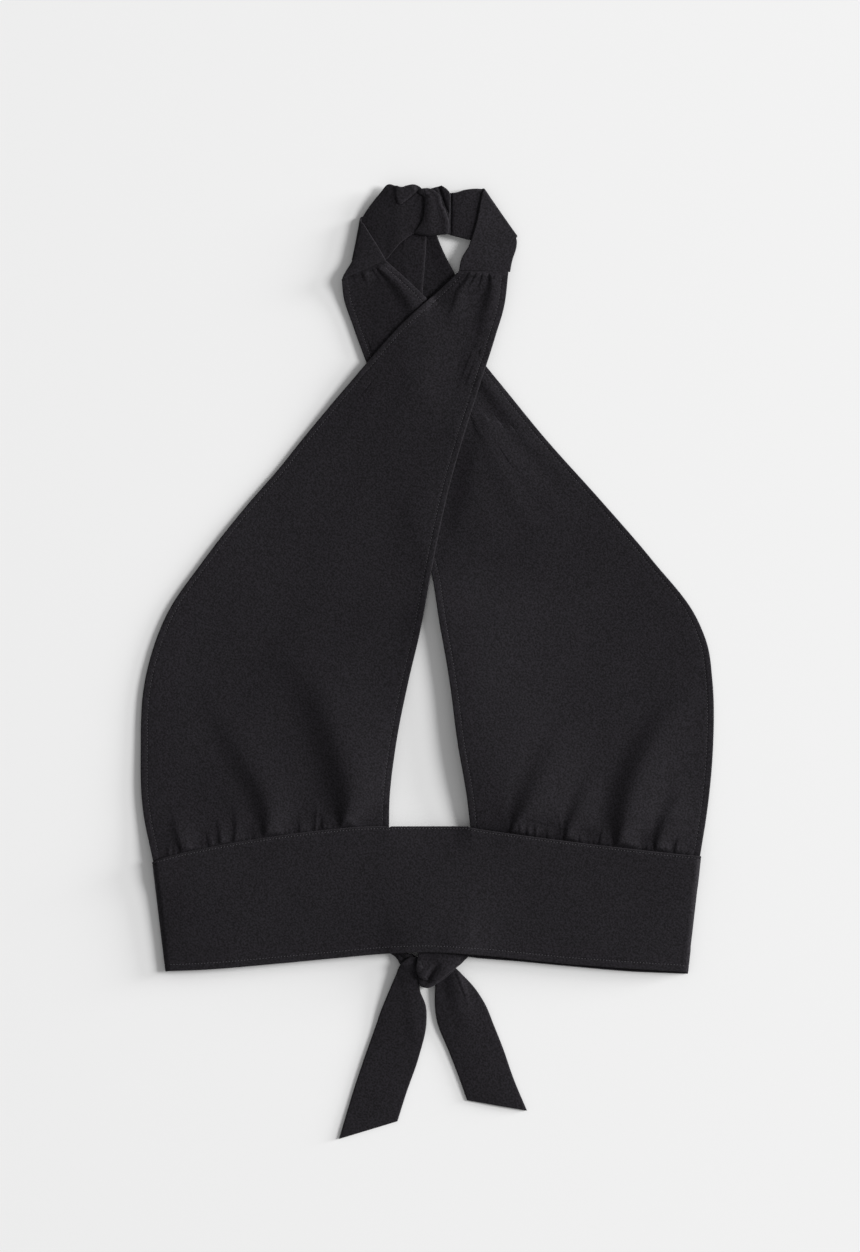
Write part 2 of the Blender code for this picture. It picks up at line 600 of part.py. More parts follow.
make_tie("neck_tail_right", NECK_TAIL_RIGHT, TIE_WALL, tie_crepe)
make_tie("neck_tail_left", NECK_TAIL_LEFT, TIE_WALL, tie_crepe)
strap_left = folded_strap(STRAP_LEFT_FRONT, STRAP_LEFT_BACK, -1.0)
strap_right = folded_strap(STRAP_RIGHT_FRONT, STRAP_RIGHT_BACK, 1.0)
wall("neck_strap_left", strap_left, TIE_WALL, 0.0, tie_crepe)
wall("neck_strap_right", strap_right, TIE_WALL, 0.0, tie_crepe)
make_wrap("neck_knot", NECK_WRAP_PLACE, NECK_WRAP, tie_crepe)

under_points = make_panel("panel_under", UNDER_PANEL, UNDER_FOLDS, UNDER_NECK_FOLDS, panel_crepe)
over_points = make_panel("panel_over", OVER_PANEL, OVER_FOLDS, OVER_NECK_FOLDS, panel_crepe)
make_front_band(over_points[0], under_points[0], band_crepe)
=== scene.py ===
import math

import bpy
import numpy as np
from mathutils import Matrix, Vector
from mathutils.bvhtree import BVHTree


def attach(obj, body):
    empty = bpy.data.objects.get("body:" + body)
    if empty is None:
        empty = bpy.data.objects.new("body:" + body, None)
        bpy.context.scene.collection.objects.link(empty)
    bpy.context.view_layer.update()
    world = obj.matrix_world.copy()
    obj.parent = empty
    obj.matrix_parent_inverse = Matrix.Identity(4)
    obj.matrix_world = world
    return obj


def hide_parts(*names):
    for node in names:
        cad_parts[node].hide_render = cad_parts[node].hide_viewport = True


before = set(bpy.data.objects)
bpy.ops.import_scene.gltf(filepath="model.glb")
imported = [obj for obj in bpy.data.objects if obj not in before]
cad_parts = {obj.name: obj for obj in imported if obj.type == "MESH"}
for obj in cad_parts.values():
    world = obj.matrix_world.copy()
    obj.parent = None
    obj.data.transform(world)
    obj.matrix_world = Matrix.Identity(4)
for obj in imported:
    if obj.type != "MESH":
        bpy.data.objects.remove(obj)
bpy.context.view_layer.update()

mm = 0.001  # lengths are in millimetres until a mesh is made; sheets' flat sizes and the studio are in metres
laidPieces = []  # what has been laid so far, which later cloth rests on


# curves and grids

def smoothRows(rows, knots, where):
    # smooth curves through rows of numbers that stand at the knots
    rows = np.array(rows, float)
    slopes = np.gradient(rows, knots, axis=0)
    before = np.clip(np.searchsorted(knots, where, side="right") - 1, 0, len(knots) - 2)
    span = (knots[before + 1] - knots[before])[:, None]
    s = (where - knots[before])[:, None] / span
    return ((2 * s**3 - 3 * s**2 + 1) * rows[before]
            + (s**3 - 2 * s**2 + s) * span * slopes[before]
            + (3 * s**2 - 2 * s**3) * rows[before + 1]
            + (s**3 - s**2) * span * slopes[before + 1])


def distanceAlong(points):
    steps = np.linalg.norm(np.diff(np.array(points, float), axis=0), axis=1)
    return np.concatenate([[0.0], np.cumsum(steps)])


def smoothLine(points, count):
    knots = distanceAlong(points)
    return smoothRows(points, knots, np.linspace(0.0, knots[-1], count))


def edgeShares(widths, steps, middleCount):
    # columns at fixed distances from both edges, and evenly spaced between them
    inner = np.linspace(0.0, 1.0, middleCount + 2)[1:-1]
    near = np.array(steps)[None, :] / np.array(widths)[:, None]
    last = near[:, -1:]
    return np.concatenate([near, last + (1 - 2 * last) * inner, 1 - near[:, ::-1]], axis=1)


def arch(shares, power=0.7):
    # 0 at both edges and 1 half way
    return (4 * shares * (1 - shares)) ** power


def fading(distance, reach):
    # 1 at a line, and softly down to 0 away from it
    return np.exp(-((distance / reach) ** 2))


def rising(distance, reach):
    # 0 at a line, and up to 1 away from it
    return 1 - np.exp(-distance / reach)


def crowdedRows(length, fine, coarse, reach):
    # places along a length that stand close together near both ends
    places = [0.0]
    while places[-1] < length / 2:
        share = min(places[-1] / reach, 1.0)
        places.append(places[-1] + fine + (coarse - fine) * share * share)
    half = np.array(places) / places[-1] * length / 2
    return np.concatenate([half, length - half[-2::-1]])


def readGrid(values, rowsAt, columnsAt):
    # a coarse grid of heights read smoothly at in-between places
    def weights(t):
        return [((-t + 2) * t - 1) * t / 2, ((3 * t - 5) * t * t + 2) / 2,
                ((-3 * t + 4) * t + 1) * t / 2, (t - 1) * t * t / 2]
    rowCount, columnCount = values.shape
    r = np.clip(np.floor(rowsAt).astype(int), 0, rowCount - 2)
    c = np.clip(np.floor(columnsAt).astype(int), 0, columnCount - 2)
    rowWeights, columnWeights = weights(rowsAt - r), weights(columnsAt - c)
    found = np.zeros(rowsAt.shape)
    for i in range(4):
        for j in range(4):
            row = np.clip(r + i - 1, 0, rowCount - 1)
            column = np.clip(c + j - 1, 0, columnCount - 1)
            found += rowWeights[i] * columnWeights[j] * values[row, column]
    return found


def gridNormals(points):
    down = np.gradient(points, axis=0)
    across = np.gradient(points, axis=1)
    normals = np.cross(across, down)
    return normals / np.maximum(np.linalg.norm(normals, axis=2, keepdims=True), 1e-9)


def ringNormals(points):
    # of a grid whose last row meets its first
    return gridNormals(np.concatenate([points[-1:], points, points[:1]]))[1:-1]


def arcLengths(points, axis):
    steps = np.linalg.norm(np.diff(points, axis=axis), axis=2)
    zero = np.zeros_like(np.take(steps, [0], axis=axis))
    return np.concatenate([zero, np.cumsum(steps, axis=axis)], axis=axis)


# the pile that cloth is laid on

restGap = 0.4  # what a coarse grid keeps clear of the pile
layGap = 0.25  # what a finished piece keeps clear of it
abovePile = 100.0


def pileTop(points):
    places = points.reshape(-1, points.shape[-1])[:, :2]
    heights = np.zeros(len(places))
    down = Vector((0.0, 0.0, -1.0))
    for low, high, tree in laidPieces:
        near = np.nonzero(((places >= low[:2]) & (places <= high[:2])).all(axis=1))[0]
        for i in near:
            hit = tree.ray_cast(Vector((places[i, 0], places[i, 1], abovePile)), down)[0]
            if hit is not None and hit.z > heights[i]:
                heights[i] = hit.z
    return heights.reshape(points.shape[:-1])


def widest(values, reach):
    # the highest value within some rows and columns
    rows, columns = values.shape
    edged = np.pad(values, reach, mode="edge")
    shifts = range(2 * reach + 1)
    return np.max([edged[i:i + rows, j:j + columns] for i in shifts for j in shifts], axis=0)


def closer(values, times):
    rows = np.linspace(0, len(values) - 1, (len(values) - 1) * times + 1)
    below = np.minimum(rows.astype(int), len(values) - 2)
    share = (rows - below).reshape(-1, 1, 1)
    return values[below] * (1 - share) + values[below + 1] * share


def clearGround(points):
    # the lowest underside that clears the pile between each point and its neighbours
    times = 3
    close = closer(closer(points[:, :, :2], times).transpose(1, 0, 2), times).transpose(1, 0, 2)
    heights = pileTop(close)
    return widest(np.where(heights > 0, heights + restGap, 0.0), times)[::times, ::times]


def fineGround(points):
    heights = pileTop(points)
    return widest(np.where(heights > 0, heights + layGap, 0.0), 1)


def settle(heights, ground, pinned, rounds, sag):
    # cloth pulled smooth between pinned points, sinking until it meets the ground
    settled = np.maximum(heights, ground)
    for _ in range(rounds):
        edged = np.pad(settled, 1, mode="edge")
        mean = (edged[:-2, 1:-1] + edged[2:, 1:-1] + edged[1:-1, :-2] + edged[1:-1, 2:]) / 4
        settled = np.maximum(mean - sag, ground)
        settled[pinned] = heights[pinned]
    return settled


# relief: folds, creases and slack in cloth

def alongPath(points, path):
    # how far each point is from a smooth path, how far along it, and on its left or right
    line = smoothLine(path, 20)
    lengths = distanceAlong(line)
    flat = points[:, :, :2]
    nearest = np.full(flat.shape[:2], 1e9)
    along = np.zeros(nearest.shape)
    side = np.zeros(nearest.shape)
    for k in range(len(line) - 1):
        run = line[k + 1] - line[k]
        offset = flat - line[k]
        share = np.clip((offset @ run) / (run @ run), 0.0, 1.0)
        away = np.linalg.norm(offset - share[:, :, None] * run, axis=2)
        better = away < nearest
        nearest = np.where(better, away, nearest)
        along = np.where(better, lengths[k] + share * (lengths[k + 1] - lengths[k]), along)
        side = np.where(better, np.sign(run[0] * offset[:, :, 1] - run[1] * offset[:, :, 0]), side)
    return nearest, along, side, lengths[-1]


usualFold = {  # what a fold has where it names nothing else
    "foot": 0.8, "opens": 14.0,  # half width at its start, and how far it runs before it is wide
    "first": 0.45, "fade": 1.0,  # share of the depth at its start, and how it fades towards its end
    "lean": 1.0,  # 1 climbs to a crest on the +X side, 0 is an even groove
}
climbWide, crestAt, crestSoft, fallsWide, footFalls = 1.6, 0.8, 0.3, 4.0, 7.0  # all in widths of the fold
troughAt, troughWide, troughShare = -0.5, 1.2, 0.25
slackWaves = ((2.1, 1.3, 1.0, 1.0), (-1.4, 2.6, 2.1, 1.0), (4.3, -2.2, 3.7, 0.6))  # x, y, phase, share


def foldRelief(points, folds):
    # folds open from a narrow foot and fade; leaning ones climb to a soft crest on their +X side
    relief = np.zeros(points.shape[:2])
    for given in folds:
        fold = {**usualFold, **given}
        path, wide, foot, first, lean = (fold[key] for key in ("path", "wide", "foot", "first", "lean"))
        nearest, along, side, length = alongPath(points, path)
        across = nearest * side * (-1.0 if path[-1][1] > path[0][1] else 1.0)
        opened = 1 - np.exp(-((along / fold["opens"]) ** 1.5))
        width = foot + (wide - foot) * opened
        falls = fold.get("falls", fallsWide * wide)
        narrow = min(footFalls * foot, falls)
        falls = narrow + (falls - narrow) * opened
        beyond = across - crestAt * width
        soft = crestSoft * width
        climb = np.exp(-soft * np.logaddexp(0.0, -beyond / soft) / (climbWide * width))
        climb *= fading(np.clip(beyond, 0.0, None), falls)
        trough = fading(across - troughAt * width, troughWide * width)
        groove = fading(across, width)
        strength = fold["deep"] * (1.0 - along / length) ** fold["fade"]
        strength *= first + (1 - first) * opened
        relief += strength * (lean * (climb - troughShare * trough) - (1.0 - lean) * groove)
    return relief


def creaseRelief(points, creases):
    # sharp folded edges: the cloth steps up on the left of a path, and falls back away from it
    relief = np.zeros(points.shape[:2])
    for crease in creases:
        nearest, along, side, length = alongPath(points, crease["path"])
        signed = nearest * side
        step = 0.5 + 0.5 * np.tanh(signed / crease["sharp"])
        falls = fading(np.clip(signed, 0.0, None), crease["falls"])
        starts = np.clip(along / crease["starts"], 0.0, 1.0)
        fades = np.clip((length - along) / crease["fades"], 0.0, 1.0)
        relief += crease["high"] * step * falls * starts * fades
    return relief


def reliefOf(points, cut):
    return foldRelief(points, cut.get("folds", ())) + creaseRelief(points, cut.get("creases", ()))


def slack(points, cut):
    # gentle unevenness of cloth that was smoothed by hand
    x, y = points[:, :, 0] / cut["slackLength"], points[:, :, 1] / cut["slackLength"]
    waves = sum(share * np.sin(a * x + b * y + turn * cut["phase"]) for a, b, turn, share in slackWaves)
    return cut["slack"] * waves / sum(wave[3] for wave in slackWaves)


# cloth as closed shells with rounded edges

edgeSheenWide = 1.1  # how far in from an edge the painted sheen reaches: a lighter colour that stands in for light caught by the folded edges


def clothShell(mid, cut, closed=False):
    # a closed shell about a grid of mid points; closed joins the last row to the first
    normals = ringNormals(mid) if closed else gridNormals(mid)
    turned = cut.get("turned")
    if turned is None:
        turned = normals[:max(2, len(mid) // 4), :, 2].sum() < 0
    if turned:
        normals = -normals
    acrossAt = arcLengths(mid, 1)
    downAt = arcLengths(mid, 0)
    away = np.minimum(acrossAt, acrossAt[:, -1:] - acrossAt)
    if not closed:
        away = np.minimum(away, np.minimum(downAt, downAt[-1:] - downAt))
    half = cut["wall"] / 2 * np.sqrt(1.0 - (1.0 - np.clip(away / cut["round"], 0.0, 1.0)) ** 2)
    half += cut.get("relief", 0.0) * (away > 0)
    upper = mid + normals * half[:, :, None]
    lower = mid - normals * half[:, :, None]
    rows, columns = mid.shape[:2]
    upperAt = np.arange(rows * columns).reshape(rows, columns)
    lowerAt = upperAt.copy()
    free = np.ones((rows, columns), bool)
    free[:, [0, -1]] = False
    if not closed:
        free[[0, -1], :] = False
    lowerAt[free] = rows * columns + np.arange(free.sum())
    across = acrossAt - acrossAt[:, -1:] / 2
    down = np.broadcast_to(downAt.mean(1, keepdims=True), across.shape)
    place = np.stack([across, down], axis=2)
    # painted sheen: a lighter colour near every edge, for the light that the folded edges catch
    edgeSheen = fading(away, edgeSheenWide)

    def quads(at, reverse):
        if closed:
            at = np.concatenate([at, at[:1]])
        corners = [at[:-1, :-1], at[:-1, 1:], at[1:, 1:], at[1:, :-1]]
        faces = np.stack(corners, axis=2).reshape(-1, 4)
        return faces[:, ::-1] if reverse else faces

    shell = {
        "vertices": np.concatenate([upper.reshape(-1, 3), lower[free]]),
        "faces": np.concatenate([quads(upperAt, turned), quads(lowerAt, not turned)]),
        "places": np.concatenate([place.reshape(-1, 2), place[free]]),
        "edgeSheen": np.concatenate([edgeSheen.ravel(), edgeSheen[free]]),
        "upper": upper, "normals": normals,
    }
    tree = BVHTree.FromPolygons(shell["vertices"].tolist(), shell["faces"].tolist())
    laidPieces.append((shell["vertices"].min(0), shell["vertices"].max(0), tree))
    return shell


def addObject(name, data):
    placed = bpy.data.objects.new(name, data)
    bpy.context.scene.collection.objects.link(placed)
    return placed


def addMesh(name, vertices, faces, material):
    mesh = bpy.data.meshes.new(name)
    mesh.from_pydata(vertices, [], faces)
    mesh.update()
    mesh.materials.append(material)
    return addObject(name, mesh)


def makePiece(name, shells, cut):
    # one mesh from its shells, with cloth places and the painted edge sheen, attached to the root in place of
    # its hidden part
    starts = np.cumsum([0] + [len(shell["vertices"]) for shell in shells])
    vertices = np.concatenate([shell["vertices"] for shell in shells])
    faces = np.concatenate([shell["faces"] + start for shell, start in zip(shells, starts)])
    places = np.concatenate([shell["places"] for shell in shells])
    piece = addMesh(name, (vertices * mm).tolist(), faces.tolist(), cut["material"])
    mesh = piece.data
    corners = np.zeros(len(mesh.loops), np.int32)
    mesh.loops.foreach_get("vertex_index", corners)
    layer = mesh.uv_layers.new(name="cloth")
    layer.uv.foreach_set("vector", (places[corners] * mm).astype(np.float32).ravel())
    # the painted edge sheen goes to the material as a point attribute
    edgeSheen = mesh.attributes.new("edgeSheen", "FLOAT", "POINT")
    edgeSheenValues = np.concatenate([shell["edgeSheen"] for shell in shells])
    edgeSheen.data.foreach_set("value", edgeSheenValues.astype(np.float32))
    mesh.shade_smooth()
    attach(piece, "root")
    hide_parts(cut["node"])


def sewRun(name, shell, at, thread):
    # stitches along one row or column of a shell: short threads that dip into the cloth at both ends
    line, normals = shell["upper"][at], shell["normals"][at]
    lengths = distanceAlong(line)
    count = int((lengths[-1] - thread["start"] * 2) / thread["pitch"])
    bulge = (0.30, 0.88, 1.0, 0.88, 0.30)
    dip = (-0.30, -0.04, 0.02, -0.04, -0.30)
    around, rings = 6, len(bulge)
    angles = np.arange(around) * 2 * math.pi / around
    reach = np.linspace(-0.5, 0.5, rings) * thread["length"]
    vertices, faces = [], []
    for i in range(count):
        centre = thread["start"] + (i + 0.5) * thread["pitch"]
        spots = np.stack([np.interp(centre + reach, lengths, line[:, k]) for k in range(3)], axis=1)
        up = np.array([np.interp(centre, lengths, normals[:, k]) for k in range(3)])
        up /= np.linalg.norm(up)
        side = np.cross(up, spots[-1] - spots[0])
        side /= np.linalg.norm(side)
        base = len(vertices)
        for k in range(rings):
            core = spots[k] + up * (thread["lift"] + dip[k]) + side * thread["skew"] * reach[k]
            for angle in angles:
                out = side * math.cos(angle) * thread["wide"] + up * math.sin(angle) * thread["thick"]
                vertices.append(core + out * bulge[k] / 2)
        for k in range(rings - 1):
            for j in range(around):
                a, b = base + k * around + j, base + k * around + (j + 1) % around
                faces.append((a, b, b + around, a + around))
        faces.append(tuple(base + j for j in reversed(range(around))))
        faces.append(tuple(base + (rings - 1) * around + j for j in range(around)))
    run = addMesh(name, (np.array(vertices) * mm).tolist(), faces, threadBlack)
    run.data.shade_smooth()
    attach(run, "root")
    return run


print("helpers ready")


# materials

def feed(tree, node, inputs):
    # inputs are set to a value, or linked from another node's output
    for name, given in inputs.items():
        if isinstance(given, bpy.types.NodeSocket):
            tree.links.new(given, node.inputs[name])
        else:
            node.inputs[name].default_value = given


def addNode(tree, kind, inputs, **settings):
    node = tree.nodes.new("ShaderNode" + kind)
    for name, value in settings.items():
        setattr(node, name, value)
    feed(tree, node, inputs)
    return node


def product(tree, first, second):
    return addNode(tree, "Math", {0: first, 1: second}, operation="MULTIPLY").outputs[0]


def rampNode(tree, value, places, colours):
    ramp = addNode(tree, "ValToRGB", {"Fac": value})
    for element, place, colour in zip(ramp.color_ramp.elements, places, colours):
        element.position, element.color = place, colour
    return ramp.outputs["Color"]


def newMaterial(name):
    material = bpy.data.materials.new(name)
    material.use_nodes = True
    return material, material.node_tree, material.node_tree.nodes["Principled BSDF"]


grainParts = {
    "turn": (0.62, 0.47, 0.85),  # askew, so that flat cloth shows no bands of the noise
    "mottleScale": 34.0, "yarnShare": 0.3,
}


def crepeGrainGroup(cut):
    # crepe: a plain weave of twisted yarns that crinkles into fine pebbles
    group = bpy.data.node_groups.new("crepeGrain", "ShaderNodeTree")
    taken = {"Place": "Vector", "Cloth": "Vector", "Yarn Scale": "Float", "Pebble Scale": "Float"}
    for name, kind in taken.items():
        group.interface.new_socket(name=name, in_out="INPUT", socket_type="NodeSocket" + kind)
    for name in ("Height", "Pebbles", "Mottle"):
        group.interface.new_socket(name=name, in_out="OUTPUT", socket_type="NodeSocketFloat")
    given = group.nodes.new("NodeGroupInput").outputs
    turned = addNode(group, "Mapping", {"Vector": given["Place"], "Rotation": cut["turn"]})
    pebbles = addNode(group, "TexNoise", {"Vector": turned.outputs["Vector"], "Scale": given["Pebble Scale"],
                                          "Detail": 0.3, "Roughness": 0.5}).outputs["Fac"]
    mottle = addNode(group, "TexNoise", {"Vector": given["Place"], "Scale": cut["mottleScale"],
                                         "Detail": 2.0}).outputs["Fac"]
    warp, weft = [
        addNode(group, "TexWave", {"Vector": given["Cloth"], "Scale": given["Yarn Scale"], "Distortion": 2.2,
                                   "Detail": 1.0, "Detail Scale": 1.4}, bands_direction=way).outputs["Fac"]
        for way in "XY"
    ]
    yarns = product(group, product(group, warp, weft), cut["yarnShare"])
    height = addNode(group, "Math", {0: pebbles, 1: yarns}, operation="ADD").outputs[0]
    result = group.nodes.new("NodeGroupOutput")
    feed(group, result, {"Height": height, "Pebbles": pebbles, "Mottle": mottle})
    return group


crepeGrain = crepeGrainGroup(grainParts)


def crepeMaterial(name, look):
    material, tree, shader = newMaterial(name)
    where = addNode(tree, "TexCoord", {}).outputs["Object"]
    cloth = addNode(tree, "UVMap", {}, uv_map="cloth").outputs["UV"]
    grain = addNode(tree, "Group", {"Place": where, "Cloth": cloth, "Yarn Scale": look["yarnScale"],
                                    "Pebble Scale": look["pebbleScale"]}, node_tree=crepeGrain).outputs
    tint = rampNode(tree, grain["Pebbles"], look["ramp"], (look["dark"], look["light"]))
    patchy = addNode(tree, "MixRGB", {"Fac": product(tree, grain["Mottle"], look["patchShare"]),
                                      "Color1": tint, "Color2": look["patch"]}).outputs["Color"]
    # painted sheen: edges are mixed towards a lighter colour, standing in for light on the folded edges
    edgeSheen = addNode(tree, "Attribute", {}, attribute_name="edgeSheen").outputs["Fac"]
    edged = addNode(tree, "MixRGB", {"Fac": product(tree, edgeSheen, look["edgeSheenShare"]),
                                     "Color1": patchy, "Color2": look["edgeSheenColour"]}).outputs["Color"]
    rough = addNode(tree, "MapRange", {"Value": grain["Pebbles"], "To Min": look["roughHigh"],
                                       "To Max": look["roughLow"]}).outputs["Result"]
    bump = addNode(tree, "Bump", {"Height": grain["Height"], "Strength": look["bump"],
                                  "Distance": look["bumpHeight"]}).outputs["Normal"]
    feed(tree, shader, {
        "Base Color": edged, "Roughness": rough, "Normal": bump, "Specular IOR Level": look["specular"],
        "Sheen Weight": look["sheen"], "Sheen Roughness": look["sheenRough"], "Sheen Tint": look["sheenTint"],
    })
    return material


crepeLook = {
    "yarnScale": 760.0, "pebbleScale": 900.0, "ramp": (0.30, 0.70),
    "dark": (0.0044, 0.0037, 0.0048, 1.0), "light": (0.0134, 0.0117, 0.0152, 1.0),
    "patch": (0.0105, 0.0090, 0.0106, 1.0), "patchShare": 0.06,
    # the edge colour is a painted sheen, lighter than the cloth, for light caught at the folded edges
    "edgeSheenColour": (0.0176, 0.0160, 0.0186, 1.0), "edgeSheenShare": 0.22,
    "roughLow": 0.78, "roughHigh": 0.94, "bump": 0.36, "bumpHeight": 0.0003,
    "specular": 0.18, "sheen": 0.05, "sheenRough": 0.45, "sheenTint": (0.85, 0.78, 0.88, 1.0),
}
panelCrepe = crepeMaterial("panelCrepe", crepeLook)
bandCrepe = crepeMaterial("bandCrepe", {**crepeLook, "bump": 0.32, "roughLow": 0.74})
# ties get a little more of the painted edge sheen
tieCrepe = crepeMaterial("tieCrepe", {**crepeLook, "bump": 0.32, "edgeSheenShare": 0.25})

threadLook = {
    "dark": (0.025, 0.0235, 0.0265, 1.0), "light": (0.062, 0.059, 0.066, 1.0), "twistScale": 1500.0,
    "bump": 0.3, "bumpHeight": 0.0001, "roughness": 0.6, "specular": 0.3,
}


def threadMaterial(name, look):
    material, tree, shader = newMaterial(name)
    where = addNode(tree, "TexCoord", {}).outputs["Object"]
    twist = addNode(tree, "TexWave", {"Vector": where, "Scale": look["twistScale"], "Distortion": 1.0},
                    bands_direction="DIAGONAL").outputs["Fac"]
    ply = rampNode(tree, twist, (0.0, 1.0), (look["dark"], look["light"]))
    bump = addNode(tree, "Bump", {"Height": twist, "Strength": look["bump"], "Distance": look["bumpHeight"]})
    feed(tree, shader, {"Base Color": ply, "Normal": bump.outputs["Normal"], "Roughness": look["roughness"],
                        "Specular IOR Level": look["specular"]})
    return material


threadBlack = threadMaterial("threadBlack", threadLook)
print("materials ready")


# ties: bands, tails and straps, given by their two edges section by section

tieEdgeSteps = (0.0, 0.12, 0.36, 0.8, 1.6, 2.6)  # columns in from both edges of a tie
tieEndSteps = (0.0, 0.12, 0.4, 0.8, 1.3)  # rows in from both of its ends
narrowTie = 8.0  # ties narrower than this have their edge columns closer


def tieGrid(sections, count, middleCount):
    # each section is one edge and the other, then how much it is bunched
    table = np.array(sections, float)
    knots = distanceAlong((table[:, 0:3] + table[:, 3:6]) / 2)
    ends, last = np.array(tieEndSteps[:-1]), tieEndSteps[-1]
    where = np.concatenate([ends, np.linspace(last, knots[-1] - last, count), knots[-1] - ends[::-1]])
    read = smoothRows(table, knots, where)
    a, b, bunch = read[:, 0:3], read[:, 3:6], np.clip(read[:, 6], 0.0, None)
    widths = np.linalg.norm(b - a, axis=1)
    steps = np.array(tieEdgeSteps) * min(1.0, widths.min() / narrowTie)
    shares = edgeShares(widths, steps, middleCount)
    points = a[:, None, :] + (b - a)[:, None, :] * shares[:, :, None]
    points[:, :, 2] += bunch[:, None] * np.cos(3 * math.pi * shares)
    return points, shares


def liftClear(points, wall):
    # a grid lifted off the pile where it would cut into it
    lifted = points.copy()
    lifted[:, :, 2] = np.maximum(points[:, :, 2], fineGround(points) + wall / 2)
    return lifted


def makeTie(name, cut):
    points, shares = tieGrid(cut["sections"], cut["rows"], cut["columns"])
    points[:, :, 2] += cut.get("crown", 0.0) * arch(shares)
    points[:, :, 2] += reliefOf(points, cut)
    points[:, :, 2] += slack(points, cut)
    shell = clothShell(liftClear(points, cut["wall"]), cut)
    makePiece(name, [shell], cut)


tie = {
    "slot": "tie_crepe", "material": tieCrepe, "wall": 1.4, "round": 0.7, "slack": 0.12, "slackLength": 14.0,
}
band = {**tie, "slot": "band_crepe", "material": bandCrepe, "wall": 1.8, "round": 0.9, "slack": 0.2}

backBandLeft = {
    **band, "node": "back_band_left", "rows": 70, "columns": 30, "flat": (0.070, 0.185), "area": 0.0078,
    "phase": 0.3,
    "sections": [  # outer edge x y z, hem edge x y z, bunch
        (-177.0, -133.0, 0.9, -169.3, -200.0, 0.9, 0.0),
        (-140.0, -137.0, 0.9, -130.0, -197.3, 0.9, 0.0),
        (-90.0, -149.0, 0.9, -85.0, -193.0, 0.9, 0.0),
        (-50.0, -161.0, 0.9, -46.0, -189.3, 0.9, 0.0),
        (-31.0, -169.5, 1.3, -26.5, -188.3, 1.3, 0.2),
        (-23.5, -179.0, 2.6, -19.0, -193.0, 2.4, 0.6),
        (-17.5, -187.5, 4.2, -14.5, -199.0, 3.6, 0.7),
        (-8.8, -189.8, 4.5, -2.8, -201.0, 4.0, 0.2),
    ],
}
backBandRight = {
    **band, "node": "back_band_right", "rows": 70, "columns": 30, "flat": (0.076, 0.172), "area": 0.0082,
    "phase": 1.1,
    "sections": [
        (177.0, -128.0, 0.9, 169.6, -202.6, 0.9, 0.0),
        (140.0, -134.5, 0.9, 132.0, -201.0, 0.9, 0.0),
        (95.0, -148.0, 0.9, 90.0, -197.4, 0.9, 0.0),
        (60.0, -160.0, 0.9, 57.0, -194.3, 0.9, 0.0),
        (38.0, -168.0, 1.5, 33.5, -192.4, 1.3, 0.3),
        (25.5, -173.5, 2.8, 25.5, -191.3, 2.4, 0.4),
        (11.0, -180.5, 3.6, 17.0, -191.0, 3.4, 0.3),
    ],
}
makeTie("backBandLeft", backBandLeft)
makeTie("backBandRight", backBandRight)
print("back bands laid")

backTailLeft = {
    **tie, "node": "back_tail_left", "rows": 110, "columns": 40, "flat": (0.036, 0.125), "area": 0.0036,
    "crown": 0.25, "phase": 0.9,
    "sections": [  # left edge x y z, right edge x y z, bunch
        (-4.6, -192.0, 4.4, -3.2, -199.0, 4.2, 0.0),
        (-11.0, -191.4, 5.0, -6.2, -199.5, 4.8, 0.0),
        (-16.6, -195.5, 5.0, -6.0, -202.0, 4.8, 0.0),
        (-20.4, -203.5, 4.2, -5.2, -206.5, 4.3, 0.0),
        (-24.0, -212.0, 3.2, -4.4, -213.5, 3.6, 0.0),
        (-29.0, -224.0, 2.1, -0.8, -223.0, 2.8, 0.0),
        (-33.2, -236.0, 1.4, -0.3, -234.0, 2.2, 0.0),
        (-41.0, -258.0, 0.9, -5.4, -257.0, 1.4, 0.0),
        (-48.6, -281.0, 0.8, -13.2, -279.5, 0.8, 0.0),
        (-57.2, -310.0, 0.7, -19.2, -298.5, 0.7, 0.0),
    ],
    "folds": [
        {"path": [(-15.9, -212.0), (-14.3, -226.0), (-12.3, -239.0), (-8.5, -252.0)],
         "wide": 3.4, "foot": 2.8, "deep": 0.8, "first": 0.3, "falls": 9.0, "fade": 0.4},
    ],
}
backTailRight = {
    **tie, "node": "back_tail_right", "rows": 90, "columns": 40, "flat": (0.037, 0.098), "area": 0.0030,
    "crown": 0.6, "phase": 1.7,
    "sections": [
        (5.2, -204.5, 1.6, 17.0, -197.0, 1.6, 0.0),
        (5.3, -209.6, 2.0, 21.4, -201.5, 2.0, 0.1),
        (5.0, -217.0, 2.0, 29.8, -210.2, 2.0, 0.1),
        (5.2, -225.0, 1.6, 37.4, -221.5, 1.4, 0.0),
        (7.0, -235.5, 1.2, 43.4, -235.8, 1.0, 0.0),
        (13.8, -252.2, 0.9, 49.8, -252.0, 0.8, 0.0),
        (20.2, -268.5, 0.8, 56.2, -270.5, 0.7, 0.0),
        (26.0, -284.8, 0.7, 65.0, -291.6, 0.7, 0.0),
    ],
    "folds": [
        {"path": [(12.6, -203.0), (14.0, -214.0), (17.0, -228.0), (23.0, -243.0)],
         "wide": 4.6, "foot": 3.8, "deep": 1.8, "first": 0.9, "falls": 9.0, "fade": 0.8},
        {"path": [(19.3, -203.5), (21.8, -210.3), (24.0, -216.2), (26.0, -225.0)],
         "wide": 0.8, "foot": 0.7, "deep": 0.8, "first": 1.0, "falls": 2.2, "fade": 0.6},
    ],
}
makeTie("backTailLeft", backTailLeft)
makeTie("backTailRight", backTailRight)
print("back tails laid")


# knots: a wrap of the tie round the bundle, and the plies that lie on it or beside it

knotShape = {
    "mouthSteps": (0.0, 0.15, 0.5, 1.1, 1.9),  # columns in from both mouths of the wrap
    "waist": 0.07, "lipWide": 1.3, "pleatStart": 2.0, "square": 0.7, "along": 44, "around": 130,
    "sag": 0.01,  # of the plies, in every round that they settle
}


